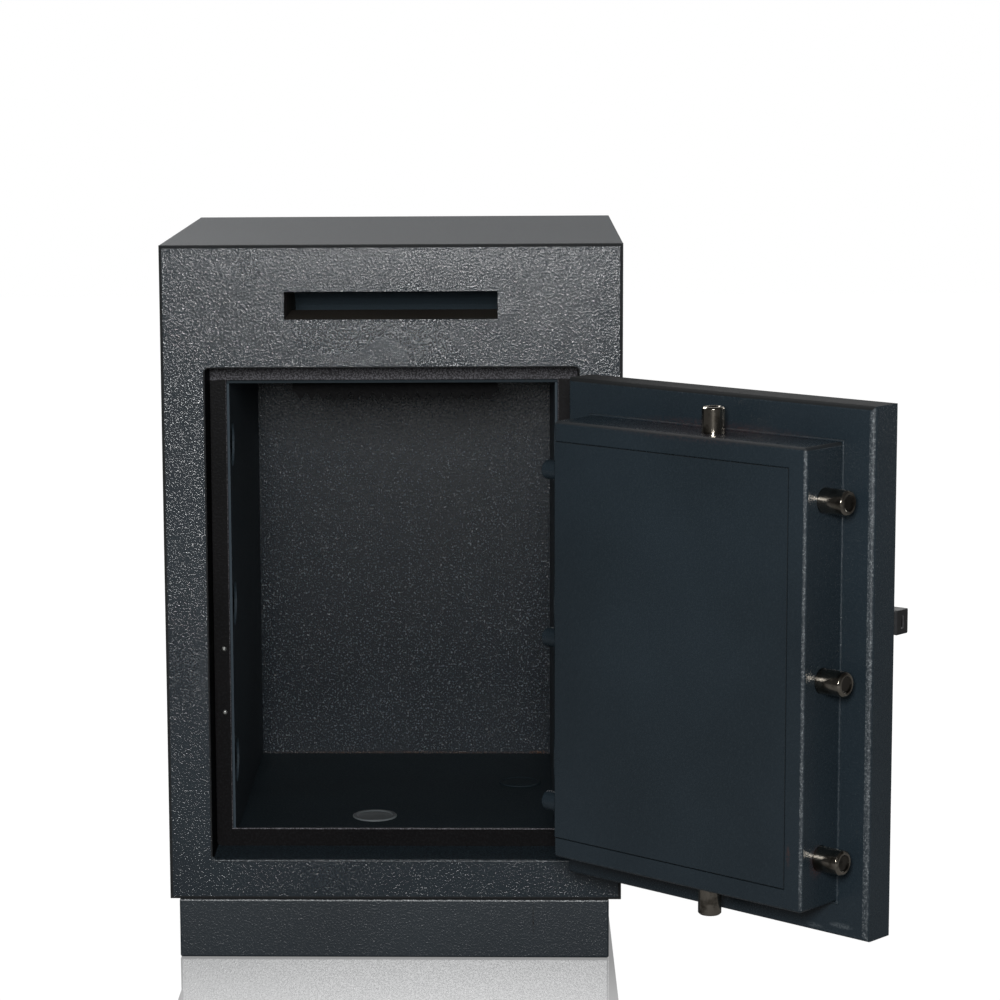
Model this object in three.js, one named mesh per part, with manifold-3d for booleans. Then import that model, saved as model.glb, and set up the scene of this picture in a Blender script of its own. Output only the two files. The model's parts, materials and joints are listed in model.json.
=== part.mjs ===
// Free-standing deposit safe: a thick-walled steel cabinet on a plinth, with a letter slot above a
// recessed door. Envelopes slide over a tray behind the slot and drop into the compartment past a
// toothed plate that stops anything being drawn back out. The door stands open with its bolts thrown.
// Frame: millimetres, +Z up, front of the cabinet towards -Y, origin at the centre of the plinth's
// underside.

import * as THREE from 'three';
import { mergeVertices } from 'three/addons/utils/BufferGeometryUtils.js';
import Module from 'manifold-3d';

const wasm = await Module();
wasm.setup();

// Cabinet shell

const bodyWidth = 490;
const bodyDepth = 470;
const bodyHeight = 711;
const plinthHeight = 65.8;
const plinthSideInset = 11.5;
const plinthFrontInset = 2;
const skin = 3;
const shellRound = 4;
const fasciaThickness = 4;
const fasciaRound = 2.5;
const backThickness = 5;
const seat = 0.3;
const overrun = 2;

// Door opening, its rebate and the compartment behind it

const openingSideWall = 46.8;
const openingBottomWall = 43.8;
const openingHeader = 130.8;
const openingRound = 4.5;
const ledgeThickness = 3;
const ledgeStripLeft = 17.7;
const ledgeStripRight = 21;
const ledgeStripBelow = 19.7;
const ledgeStripAbove = 19.6;
const linerThickness = 2.7;
const rearWall = 12;
const floorRise = 10.4;

// Holes that let the bolts and dogs pass the liner; the side holes lie deeper than the thrown bolts

const boltHoleRadius = 25;
const boltHoleLead = 9.3;
const endBoltHoleRadius = 14.5;

// Anchor points in the compartment floor, from the fascia's front face and the side walls

const anchorFrontInset = 153;
const anchorFrontDepth = 149;
const anchorRearInset = 40.2;
const anchorRearDepth = 309;
const anchorAccessRadius = 22;
const anchorBoltHoleRadius = 7;
const plugRimRadius = 25;
const plugRimHeight = 1.8;
const plugDepth = 9;
const plugDishDepth = 0.8;
const plugDishRadius = 20;

// Screws in the left ledge strip

const ledgeScrewRises = [130.7, 201.7];
const ledgeScrewInset = 7;
const ledgeScrewHeadRadius = 2.8;
const ledgeScrewHeadHeight = 1.6;
const ledgeScrewShankRadius = 1.6;
const ledgeScrewClearance = 0.3;
const ledgeScrewReach = 9;

// Deposit slot, tray, hood and toothed plate

const slotWidth = 225.3;
const slotHeight = 29.2;
const slotRise = 51.8;
const slotRound = 2;
const trayThickness = 2.5;
const cheekThickness = 2;
const cheekRise = 2.4;
const hoodThickness = 2;
const hoodClearance = 3;
const chuteThroat = 84;
const combThickness = 2.2;
const combLead = 1;
const combDrop = 25;
const combToothHeight = 9.2;
const combToothPitch = 12.2;
const combToothFlat = 1.2;

// Hinges

const restOpening = THREE.MathUtils.degToRad(138.15);
const hingeSetback = 20.2;
const hingeFaceGap = 0.3;
const barrelRadius = 7.4;
const knuckleLength = 40;
const hingeLowerRise = 79.8;
const hingeUpperDrop = 80.2;
const hingePinRadius = 4;
const hingePinHeadRadius = 5.6;
const hingePinHeadHeight = 3;
const hingePinTail = 2;
const hingePinClearance = 0.35;
const leafReach = 27;
const leafThickness = 4;
const strapThickness = 5;
const strapReach = 62;
const strapCrank = 12;

// Door slab and the bolt box on its inner face; "across" runs from the hinge edge to the free edge

const slabFreeGap = 4.8;
const slabHingeGap = 6.4;
const slabBottomGap = 2.6;
const slabTopGap = 2.8;
const slabBackGap = 6.3;
const slabThickness = 37.7;
const slabRecess = 17;
const slabRound = 4.5;
const slabCornerSpare = 1;
const boxAcross = 31.4;
const boxFreeMargin = 36.7;
const boxBottomMargin = 37.9;
const boxTopMargin = 36.9;
const boxDepth = 58.3;
const boxWall = 3;
const boxRound = 4;
const boxCornerSpare = 1;
const boxFlange = 20.3;
const coverThickness = 2.7;
const coverGap = 0.5;
const coverLip = 8;
const coverRound = 0.8;

// Boltwork

const boltDepth = 28;
const sideBoltRadius = 12.5;
const sideBoltShares = [0.1094, 0.4963, 0.8825];
const sideBoltThrow = 28.5;
const endBoltRadius = 11.8;
const endBoltOffset = 45;
const topBoltThrow = 26.4;
const bottomBoltThrow = 32.1;
const endBoltInside = 46;
const boltChamfer = 2;
const boltEdgeShare = 0.3;
const boltEndRecess = 1.2;
const boltEndRecessRadius = 6.5;
const boltClearance = 0.4;
const boltTravel = 26;
const dogRadius = 10.2;
const dogShares = [0.1094, 0.4919, 0.8777];
const dogProud = 36;
const dogDepth = 30;
const dogSpigotRadius = 6;
const dogSpigotLength = 8;
const dogDomeShare = 0.45;

// Spindle, cam and slides; depths are measured inwards from the slab's inner face

const spindleShare = 0.7146;
const spindleDrop = 183.3;
const spindleRadius = 8;
const turningGap = 0.4;
const bushWall = 2.7;
const camRadius = 57;
const camDepth = 5;
const camThickness = 6;
const camHubRadius = 13;
const camHubDepth = 0.8;
const pinThrownRadius = 46;
const pinRadius = 4;
const pinClearance = 0.4;
const pinLift = 0.5;
const slideDepth = 12.3;
const slideThickness = 3;
const slideWidth = 26;
const slideEar = 11;
const slideGap = 1.5;
const slideLugThickness = 11;
const carriageDepth = 18;
const carriageThickness = 4;
const carriageFlange = 20;
const carriageWeb = 49;
const carriageOverhang = 22;
const studRadius = 4;
const studCollarRadius = 8;
const studHeadHeight = 2.4;
const studFoot = 0.3;
const carriageStudDrop = 39;
const carriageStudLowerDrop = 123;
const carriageStudUpperRise = 77;
const slideStudOffset = 63;

// Lock case, its bolt and the keyhole plate

const lockOffset = 103;
const lockWidth = 78;
const lockHeight = 66;
const lockDepth = 20;
const lockBoltWidth = 10;
const lockBoltHeight = 12;
const lockBoltLength = 44;
const lockBoltRest = 1;
const lockTabHeight = 8;
const lockTabReach = 10;
const lockStripWidth = 14;
const keyholeInset = 40;
const keyholeRadius = 3.4;
const keyholeSlotWidth = 3;
const keyholeDrop = 13;
const escutcheonRadius = 17;
const escutcheonThickness = 2.5;
const escutcheonRound = 0.8;

// Handle

const roseRadius = 27;
const roseThickness = 7.7;
const roseRound = 2.5;
const leverStand = 22.3;
const leverThickness = 23;
const leverLength = 113;
const leverHubRadius = 18;
const leverNeckRadius = 14;
const leverEndHeight = 25;
const leverWaistHeight = 21;
const leverRound = 3;
const leverWaistShare = 0.55;
const leverRootAngle = THREE.MathUtils.degToRad(37);
const leverSlotWidth = 3.2;
const leverSlotHeight = 12;
const leverSlotDepth = 6;
const leverBoreDepth = 28;

// Fineness of the round forms, in counts

const roundSegments = 28;
const smallSegments = 16;
const circleSteps = 10;
const cornerSegments = 2;
const bevelSegments = 3;
const domeSegments = 3;
const capSegments = 6;
const spiralSegments = 14;

// Planes worked out from the sizes above

const front = -bodyDepth / 2;
const bodyFloor = plinthHeight;
const bodyTop = bodyFloor + bodyHeight;
const fasciaBack = front + fasciaThickness;
const openingWidth = bodyWidth - 2 * openingSideWall;
const openingHeight = bodyHeight - openingBottomWall - openingHeader;
const openingSill = bodyFloor + openingBottomWall;
const openingTop = openingSill + openingHeight;
const rebateDepth = slabRecess + slabThickness + slabBackGap;
const ledgeFront = front + rebateDepth;
const ledgeBack = ledgeFront + ledgeThickness;
const ledgeLeft = openingWidth / 2 - ledgeStripLeft;
const ledgeRight = openingWidth / 2 - ledgeStripRight;
const ledgeSill = openingSill + ledgeStripBelow;
const ledgeTop = openingTop - ledgeStripAbove;
const linerBack = front + bodyDepth - rearWall;
const floorTop = openingSill + floorRise;
const ceilingTop = ledgeTop - seat;
const ceilingUnder = ceilingTop - linerThickness;
const boltHoleDepth = slabRecess + slabThickness + boltDepth + boltHoleLead;
const slabWidth = openingWidth - slabFreeGap - slabHingeGap;
const slabHeight = openingHeight - slabBottomGap - slabTopGap;
const slabSill = openingSill + slabBottomGap;
const slabHingeEdge = slabFreeGap + slabWidth - openingWidth / 2;
const hingeProud = barrelRadius + hingeFaceGap;
const hingeAxis = new THREE.Vector3(slabHingeEdge + hingeSetback, front - hingeProud, 0);
const slabInner = slabRecess + slabThickness + hingeProud;
const hingeHeights = [slabSill + hingeLowerRise, slabSill + slabHeight - hingeUpperDrop];
const boxWidth = slabWidth - boxAcross - boxFreeMargin;
const boxSill = slabSill + boxBottomMargin;
const boxHeight = slabHeight - boxBottomMargin - boxTopMargin;
const sideBoltHeights = sideBoltShares.map((share) => boxSill + boxHeight * share);
const dogHeights = dogShares.map((share) => boxSill + boxHeight * share);
const spindleAcross = boxAcross + boxWidth * spindleShare;
const spindleHeight = boxSill + boxHeight - spindleDrop;
const carriageStudHeights = [spindleHeight - carriageStudLowerDrop, spindleHeight + carriageStudUpperRise];
const endBoltAcross = spindleAcross - endBoltOffset;
const lockAcross = endBoltAcross - lockOffset;
const keyholeAcross = lockAcross + keyholeInset;
const slotSill = openingTop + slotRise;
const trayTop = slotSill - seat;
const trayDepth = slabRecess + slabThickness + boxDepth + combLead - fasciaThickness;
const trayBack = fasciaBack + seat + trayDepth;
const combFront = trayBack + seat;
const chuteBack = combFront + combThickness + chuteThroat;
const hoodUnder = slotSill + slotHeight + hoodClearance;
const hoodTop = hoodUnder + hoodThickness;
const camRate = boltTravel / (Math.PI / 2);

// Shapes and solids

function rectangle(low, high, round = 0) {
  const shape = new THREE.Shape();
  const [x0, y0] = low;
  const [x1, y1] = high;
  if (round === 0) {
    shape.moveTo(x0, y0).lineTo(x1, y0).lineTo(x1, y1).lineTo(x0, y1).closePath();
    return shape;
  }
  shape.moveTo(x0 + round, y0);
  shape.lineTo(x1 - round, y0);
  shape.absarc(x1 - round, y0 + round, round, -Math.PI / 2, 0, false);
  shape.lineTo(x1, y1 - round);
  shape.absarc(x1 - round, y1 - round, round, 0, Math.PI / 2, false);
  shape.lineTo(x0 + round, y1);
  shape.absarc(x0 + round, y1 - round, round, Math.PI / 2, Math.PI, false);
  shape.lineTo(x0, y0 + round);
  shape.absarc(x0 + round, y0 + round, round, Math.PI, Math.PI * 1.5, false);
  return shape;
}

function outline(points) {
  const shape = new THREE.Shape();
  shape.moveTo(...points[0]);
  points.slice(1).forEach((point) => shape.lineTo(...point));
  shape.closePath();
  return shape;
}

function circle(x, y, radius) {
  return new THREE.Path().absarc(x, y, radius, 0, Math.PI * 2, true);
}

function slotPath(x0, y0, x1, y1, radius) {
  const path = new THREE.Path();
  const angle = Math.atan2(y1 - y0, x1 - x0);
  path.absarc(x1, y1, radius, angle - Math.PI / 2, angle + Math.PI / 2, false);
  path.absarc(x0, y0, radius, angle + Math.PI / 2, angle + Math.PI * 1.5, false);
  path.closePath();
  return path;
}

function extrude(shape, depth, curveSegments = cornerSegments) {
  return new THREE.ExtrudeGeometry(shape, { depth, bevelEnabled: false, curveSegments });
}

function extrudeSoft(shape, depth, round, curveSegments = cornerSegments) {
  const geometry = new THREE.ExtrudeGeometry(shape, {
    depth: depth - 2 * round,
    bevelThickness: round,
    bevelSize: round,
    bevelOffset: -round,
    bevelSegments,
    curveSegments,
  });
  return geometry.translate(0, 0, round);
}

function toSolid(geometry) {
  const bare = geometry.index ? geometry.toNonIndexed() : geometry.clone();
  bare.deleteAttribute('normal');
  bare.deleteAttribute('uv');
  const merged = mergeVertices(bare);
  const corners = Array.from(merged.index.array);
  const triangles = [];
  for (let i = 0; i < corners.length; i += 3) {
    const [a, b, c] = corners.slice(i, i + 3);
    if (a !== b && b !== c && c !== a) {
      triangles.push(a, b, c);
    }
  }
  return new wasm.Manifold(new wasm.Mesh({
    numProp: 3,
    vertProperties: new Float32Array(merged.attributes.position.array),
    triVerts: new Uint32Array(triangles),
  }));
}

function toGeometry(solid) {
  const { vertProperties, triVerts } = solid.getMesh();
  const geometry = new THREE.BufferGeometry();
  geometry.setAttribute('position', new THREE.BufferAttribute(new Float32Array(vertProperties), 3));
  geometry.setIndex(new THREE.BufferAttribute(new Uint32Array(triVerts), 1));
  geometry.computeVertexNormals();
  return geometry;
}

function cut(base, ...tools) {
  return toGeometry(tools.reduce((solid, tool) => solid.subtract(toSolid(tool)), toSolid(base)));
}

function join(base, ...others) {
  return toGeometry(others.reduce((solid, other) => solid.add(toSolid(other)), toSolid(base)));
}

function block(low, high) {
  const [x0, y0, z0] = low;
  const [x1, y1, z1] = high;
  const geometry = new THREE.BoxGeometry(x1 - x0, y1 - y0, z1 - z0);
  return geometry.translate((x0 + x1) / 2, (y0 + y1) / 2, (z0 + z1) / 2);
}

// A plate with rounded edges on its first face only: the soft edge of the far face is cut away.
function softPlate(shape, thickness, round, curveSegments = cornerSegments) {
  const long = extrudeSoft(shape, thickness + 2 * round, round, curveSegments);
  long.computeBoundingBox();
  const { min, max } = long.boundingBox;
  const low = [min.x - overrun, min.y - overrun, thickness];
  const high = [max.x + overrun, max.y + overrun, max.z + overrun];
  return cut(long, block(low, high));
}

// Sets a piece drawn in X and Y upright: X stays, Y becomes Z and its first face looks to the back.
function upright(geometry, yFirst) {
  const basis = new THREE.Matrix4().makeBasis(
    new THREE.Vector3(1, 0, 0), new THREE.Vector3(0, 0, 1), new THREE.Vector3(0, -1, 0));
  return geometry.applyMatrix4(basis).translate(0, yFirst, 0);
}

// Upright plate that starts at yFront and goes back by its thickness.
function uprightPlate(shape, yFront, thickness, curveSegments = cornerSegments) {
  return upright(extrude(shape, thickness, curveSegments), yFront + thickness);
}

// Plate drawn in Y and Z that starts at xLow and goes to the right by its thickness.
function sidePlate(shape, xLow, thickness, curveSegments = cornerSegments) {
  const basis = new THREE.Matrix4().makeBasis(
    new THREE.Vector3(0, 1, 0), new THREE.Vector3(0, 0, 1), new THREE.Vector3(1, 0, 0));
  return extrude(shape, thickness, curveSegments).applyMatrix4(basis).translate(xLow, 0, 0);
}

function turned(profile, segments = roundSegments) {
  return new THREE.LatheGeometry(profile.map(([r, y]) => new THREE.Vector2(r, y)), segments);
}

function rod(radius, from, to, segments = roundSegments) {
  return turned([[0, from], [radius, from], [radius, to], [0, to]], segments);
}

const alongZ = (geometry) => geometry.rotateX(Math.PI / 2);
const alongMinusX = (geometry) => geometry.rotateZ(Math.PI / 2);
const alongX = (geometry) => geometry.rotateZ(-Math.PI / 2);

// Finishes

function finish(color, roughness, metalness) {
  return new THREE.MeshStandardMaterial({ color, roughness, metalness });
}

const structuredPaint = () => finish(0x30353a, 0.55, 0.1);
const smoothPaint = () => finish(0x252c33, 0.5, 0.1);
const blackPaint = () => finish(0x121315, 0.45, 0.1);
const chromedSteel = () => finish(0xb8b4ae, 0.18, 1);
const platedSteel = () => finish(0x9a9a96, 0.4, 0.9);
const greyPlastic = () => finish(0x7c8086, 0.6, 0);
const blackPlastic = () => finish(0x17181a, 0.5, 0);
const bronze = () => finish(0x8a6a3c, 0.45, 0.9);

function piece(group, name, geometry, material) {
  const mesh = new THREE.Mesh(geometry, material);
  mesh.name = name;
  group.add(mesh);
  return mesh;
}

const safe = new THREE.Group();

// Plinth: a tray with its base plate on the floor, holed below the anchor points

function plinthTray() {
  const x = bodyWidth / 2 - plinthSideInset;
  const y = bodyDepth / 2 - plinthFrontInset;
  const top = plinthHeight - seat;
  const outer = extrude(rectangle([-x, -y], [x, y], shellRound), top);
  const inner = block([-x + skin, -y + skin, skin], [x - skin, y - skin, top + overrun]);
  return cut(outer, inner, ...anchorHoles(anchorBoltHoleRadius, -overrun, skin + overrun));
}

function anchorHoles(radius, from, to) {
  return anchorPlaces().map(([x, y]) => alongZ(rod(radius, from, to)).translate(x, y, 0));
}

function anchorPlaces() {
  return [
    [anchorFrontInset - ledgeLeft, front + anchorFrontDepth],
    [ledgeRight - anchorRearInset, front + anchorRearDepth],
  ];
}

piece(safe, 'plinth', plinthTray(), structuredPaint());

// Shell: a folded wrap, a fascia with the slot and the door opening, and a back let into the wrap

function wrapTube() {
  const x = bodyWidth / 2;
  const outer = rectangle([-x, bodyFloor], [x, bodyTop], shellRound);
  outer.holes.push(rectangle([-x + skin, bodyFloor + skin], [x - skin, bodyTop - skin], shellRound - skin));
  const tube = uprightPlate(outer, fasciaBack + seat, bodyDepth - fasciaThickness - seat);
  return cut(tube, ...anchorHoles(anchorBoltHoleRadius, bodyFloor - overrun, bodyFloor + skin + overrun));
}

function fasciaPlate() {
  const x = bodyWidth / 2;
  const shape = rectangle([-x, bodyFloor], [x, bodyTop], shellRound);
  const half = openingWidth / 2;
  shape.holes.push(rectangle([-half, openingSill], [half, openingTop], openingRound));
  shape.holes.push(rectangle(
    [-slotWidth / 2, slotSill], [slotWidth / 2, slotSill + slotHeight], slotRound));
  const plate = softPlate(shape, fasciaThickness, fasciaRound);
  const faceForward = new THREE.Matrix4().makeBasis(
    new THREE.Vector3(-1, 0, 0), new THREE.Vector3(0, 0, 1), new THREE.Vector3(0, 1, 0));
  return plate.applyMatrix4(faceForward).translate(0, front, 0);
}

function backPlate() {
  const x = bodyWidth / 2 - skin - seat;
  const shape = rectangle([-x, bodyFloor + skin + seat], [x, bodyTop - skin - seat], shellRound - skin);
  return uprightPlate(shape, -front - backThickness, backThickness);
}

piece(safe, 'body_wrap', wrapTube(), structuredPaint());
piece(safe, 'front_fascia', fasciaPlate(), structuredPaint());
piece(safe, 'back_plate', backPlate(), structuredPaint());

// Rebate: the jamb tube behind the opening and the ledge that the door shuts in front of

function jambTube() {
  const half = openingWidth / 2;
  const low = [-half - skin, openingSill - skin];
  const shape = rectangle(low, [half + skin, openingTop + skin], openingRound + skin);
  shape.holes.push(rectangle([-half, openingSill], [half, openingTop], openingRound));
  return uprightPlate(shape, fasciaBack + seat, rebateDepth - fasciaThickness - 2 * seat);
}

function ledgeRing() {
  const half = openingWidth / 2 + skin;
  const shape = rectangle([-half, openingSill - skin], [half, openingTop + skin], openingRound + skin);
  shape.holes.push(rectangle([-ledgeLeft, ledgeSill], [ledgeRight, ledgeTop]));
  const holeRadius = ledgeScrewShankRadius + ledgeScrewClearance;
  ledgeScrewRises.forEach((rise) => shape.holes.push(circle(ledgeScrewX(), ledgeSill + rise, holeRadius)));
  return uprightPlate(shape, ledgeFront, ledgeThickness, capSegments);
}

function ledgeScrewX() {
  return -ledgeLeft - ledgeScrewInset;
}

function ledgeScrew(height) {
  const profile = [
    [0, -ledgeScrewReach],
    [ledgeScrewShankRadius, -ledgeScrewReach],
    [ledgeScrewShankRadius, seat],
    [ledgeScrewHeadRadius, seat],
    [ledgeScrewHeadRadius, seat + ledgeScrewHeadHeight / 2],
    [ledgeScrewHeadRadius / 2, seat + ledgeScrewHeadHeight],
    [0, seat + ledgeScrewHeadHeight],
  ];
  return turned(profile, smallSegments).rotateX(Math.PI).translate(ledgeScrewX(), ledgeFront, height);
}

piece(safe, 'door_jamb', jambTube(), blackPaint());
piece(safe, 'ledge_frame', ledgeRing(), blackPaint());
ledgeScrewRises.forEach((rise, i) => {
  piece(safe, `ledge_screw_${['lower', 'upper'][i]}`, ledgeScrew(ledgeSill + rise), platedSteel());
});

// Compartment liner: two sides holed for bolts and dogs, floor, ceiling and rear wall

function linerSide(xLow, heights, holeDepth) {
  const notch = ledgeSill + seat;
  const shape = outline([
    [ledgeFront, notch],
    [ledgeBack + seat, notch],
    [ledgeBack + seat, floorTop + seat],
    [linerBack - seat, floorTop + seat],
    [linerBack - seat, ceilingUnder - seat],
    [ledgeFront, ceilingUnder - seat],
  ]);
  heights.forEach((z) => shape.holes.push(circle(front + holeDepth, z, boltHoleRadius)));
  return sidePlate(shape, xLow, linerThickness, circleSteps);
}

function linerFloor() {
  const low = [-ledgeLeft + seat, ledgeBack + seat, floorTop - linerThickness];
  const high = [ledgeRight - seat, linerBack - seat, floorTop];
  const hole = alongZ(rod(endBoltHoleRadius, floorTop - skin - overrun, floorTop + overrun));
  const endHole = hole.translate(endBoltX(), endBoltY(), 0);
  const access = anchorHoles(anchorAccessRadius, floorTop - skin - overrun, floorTop + overrun);
  return cut(block(low, high), endHole, ...access);
}

function linerCeiling() {
  const low = [-ledgeLeft + seat, ledgeFront, ceilingUnder];
  const high = [ledgeRight - seat, linerBack - seat, ceilingTop];
  const half = slotWidth / 2 + seat;
  const drop = block(
    [-half, combFront - seat, ceilingUnder - overrun], [half, chuteBack, ceilingTop + overrun]);
  const hole = alongZ(rod(endBoltHoleRadius, ceilingUnder - overrun, ceilingTop + overrun));
  return cut(block(low, high), drop, hole.translate(endBoltX(), endBoltY(), 0));
}

function linerRear() {
  const low = [-ledgeLeft + seat, floorTop - linerThickness];
  const high = [ledgeRight - seat, ceilingTop];
  return uprightPlate(rectangle(low, high), linerBack, linerThickness);
}

// Where the top and bottom bolts stand when the door is shut
function endBoltX() {
  return slabHingeEdge - endBoltAcross;
}

function endBoltY() {
  return front + slabRecess + slabThickness + boltDepth;
}

piece(safe, 'liner_left', linerSide(-ledgeLeft + seat, sideBoltHeights, boltHoleDepth), smoothPaint());
piece(safe, 'liner_right',
  linerSide(ledgeRight - seat - linerThickness, dogHeights, boltHoleDepth), smoothPaint());
piece(safe, 'liner_floor', linerFloor(), smoothPaint());
piece(safe, 'liner_ceiling', linerCeiling(), smoothPaint());
piece(safe, 'liner_rear', linerRear(), structuredPaint());

// Plugs that close the access holes above the anchor bolts

function anchorPlug(x, y) {
  const rim = floorTop + seat;
  const top = rim + plugRimHeight;
  const profile = [
    [0, rim - plugDepth],
    [anchorAccessRadius - seat, rim - plugDepth],
    [anchorAccessRadius - seat, rim],
    [plugRimRadius, rim],
    [plugRimRadius, top - plugDishDepth],
    [plugRimRadius - plugDishDepth, top],
    [plugDishRadius, top],
    [plugDishRadius - plugDishDepth, top - plugDishDepth],
    [0, top - plugDishDepth],
  ];
  return alongZ(turned(profile)).translate(x, y, 0);
}

anchorPlaces().forEach(([x, y], i) => {
  piece(safe, ['anchor_plug_front', 'anchor_plug_rear'][i], anchorPlug(x, y), greyPlastic());
});

// Deposit way: tray, two cheeks, a hood that curves down to the ceiling, and the toothed plate

function depositTray() {
  const half = slotWidth / 2;
  return block([-half, fasciaBack + seat, trayTop - trayThickness], [half, trayBack, trayTop]);
}

// A cheek stands on the ceiling and steps over the jamb and the ledge's top strip
function cheek(xLow) {
  const bottom = ceilingTop + seat;
  const overJamb = openingTop + skin + seat;
  const shape = outline([
    [fasciaBack + seat, overJamb],
    [ledgeBack + seat, overJamb],
    [ledgeBack + seat, bottom],
    [chuteBack + seat, bottom],
    [chuteBack + seat, hoodTop + cheekRise],
    [fasciaBack + seat, hoodTop + cheekRise],
  ]);
  return sidePlate(shape, xLow, cheekThickness);
}

function depositHood() {
  const bottom = ceilingTop + seat;
  const innerBack = chuteBack - hoodThickness;
  const bendRadius = innerBack - combFront;
  const shape = new THREE.Shape();
  shape.moveTo(fasciaBack + seat, hoodUnder);
  shape.lineTo(innerBack - bendRadius, hoodUnder);
  shape.absarc(innerBack - bendRadius, hoodUnder - bendRadius, bendRadius, Math.PI / 2, 0, true);
  shape.lineTo(innerBack, bottom);
  shape.lineTo(chuteBack, bottom);
  shape.lineTo(chuteBack, hoodUnder - bendRadius);
  shape.absarc(
    innerBack - bendRadius, hoodUnder - bendRadius, bendRadius + hoodThickness, 0, Math.PI / 2, false);
  shape.lineTo(fasciaBack + seat, hoodTop);
  shape.closePath();
  return sidePlate(shape, -slotWidth / 2, slotWidth, capSegments);
}

function toothedPlate() {
  const half = slotWidth / 2;
  const tip = ceilingUnder - combDrop;
  const root = tip + combToothHeight;
  const teeth = Math.floor(slotWidth / combToothPitch);
  const margin = (slotWidth - teeth * combToothPitch) / 2;
  const points = [[-half, trayTop - trayThickness - seat], [-half, root]];
  for (let i = 0; i < teeth; i += 1) {
    const start = -half + margin + i * combToothPitch;
    const middle = start + combToothPitch / 2;
    points.push([start, root], [middle - combToothFlat / 2, tip], [middle + combToothFlat / 2, tip]);
  }
  points.push([half - margin, root], [half, root], [half, trayTop - trayThickness - seat]);
  return uprightPlate(outline(points), combFront, combThickness);
}

piece(safe, 'deposit_tray', depositTray(), smoothPaint());
piece(safe, 'deposit_cheek_left', cheek(-slotWidth / 2 - seat - cheekThickness), smoothPaint());
piece(safe, 'deposit_cheek_right', cheek(slotWidth / 2 + seat), smoothPaint());
piece(safe, 'deposit_hood', depositHood(), smoothPaint());
piece(safe, 'anti_fish_comb', toothedPlate(), smoothPaint());

// Door: drawn shut, about the hinge axis, and turned open as a whole

const door = new THREE.Group();
door.position.copy(hingeAxis);
door.rotation.z = restOpening;
safe.add(door);

// Places on the door: "across" from the hinge edge, "inward" from the slab's inner face
const across = (distance) => -(hingeSetback + distance);
const inward = (depth) => slabInner + depth;

function doorBlock(low, high) {
  const [s0, d0, z0] = low;
  const [s1, d1, z1] = high;
  return block([across(s1), inward(d0), z0], [across(s0), inward(d1), z1]);
}

function doorRectangle(s0, z0, s1, z1, round = 0) {
  return rectangle([across(s1), z0], [across(s0), z1], round);
}

// Hinges: a welded knuckle and leaf on the fascia, a cranked strap on the door, and a fixed pin

function bodyKnuckle(height) {
  const bottom = height - knuckleLength;
  const barrel = alongZ(rod(barrelRadius, bottom, height - seat, smallSegments));
  const leaf = block(
    [0, hingeProud - seat - leafThickness, bottom], [leafReach, hingeProud - seat, height - seat]);
  const bore = alongZ(rod(hingePinRadius + seat, bottom - overrun, height + overrun, smallSegments));
  const knuckle = join(barrel, leaf);
  return cut(knuckle, bore).translate(hingeAxis.x, hingeAxis.y, 0);
}

function hingePin(height) {
  const top = height + knuckleLength + seat;
  const profile = [
    [0, height - knuckleLength - hingePinTail],
    [hingePinRadius, height - knuckleLength - hingePinTail],
    [hingePinRadius, top],
    [hingePinHeadRadius, top],
    [hingePinHeadRadius, top + hingePinHeadHeight / 2],
    [hingePinHeadRadius / 2, top + hingePinHeadHeight],
    [0, top + hingePinHeadHeight],
  ];
  return alongZ(turned(profile, smallSegments)).translate(hingeAxis.x, hingeAxis.y, 0);
}

function doorStrap(height) {
  const top = height + knuckleLength;
  const half = strapThickness / 2;
  const pad = inward(-slabThickness) - seat;
  const bend = across(strapCrank);
  const shape = outline([
    [0, -half],
    [0, half],
    [bend + strapThickness, half],
    [bend + strapThickness, pad - strapThickness],
    [bend + strapThickness, pad],
    [across(strapReach), pad],
    [across(strapReach), pad - strapThickness],
    [bend, pad - strapThickness],
    [bend, -half],
  ]);
  const strap = extrude(shape, knuckleLength).translate(0, 0, height);
  const barrel = alongZ(rod(barrelRadius, height, top, smallSegments));
  const boreRadius = hingePinRadius + hingePinClearance;
  const bore = alongZ(rod(boreRadius, height - overrun, top + overrun, smallSegments));
  return cut(join(strap, barrel), bore);
}

hingeHeights.forEach((height, i) => {
  const place = ['lower', 'upper'][i];
  piece(safe, `hinge_leaf_${place}`, bodyKnuckle(height), structuredPaint());
  piece(safe, `hinge_pin_${place}`, hingePin(height), platedSteel());
  piece(door, `hinge_strap_${place}`, doorStrap(height), structuredPaint());
});

// Slab, bolt box and cover

function slabPlate() {
  const shape = doorRectangle(0, slabSill, slabWidth, slabSill + slabHeight, slabRound + slabCornerSpare);
  const plate = upright(softPlate(shape, slabThickness, slabRound), inward(0));
  const y0 = inward(-slabThickness) - overrun;
  const y1 = inward(overrun);
  const spindleBore = rod(spindleRadius + turningGap + bushWall + seat, y0, y1, smallSegments);
  const keyBore = rod(keyholeDrop, y0, y1, smallSegments);
  return cut(plate,
    spindleBore.translate(across(spindleAcross), 0, spindleHeight),
    keyBore.translate(across(keyholeAcross), 0, spindleHeight));
}

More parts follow.
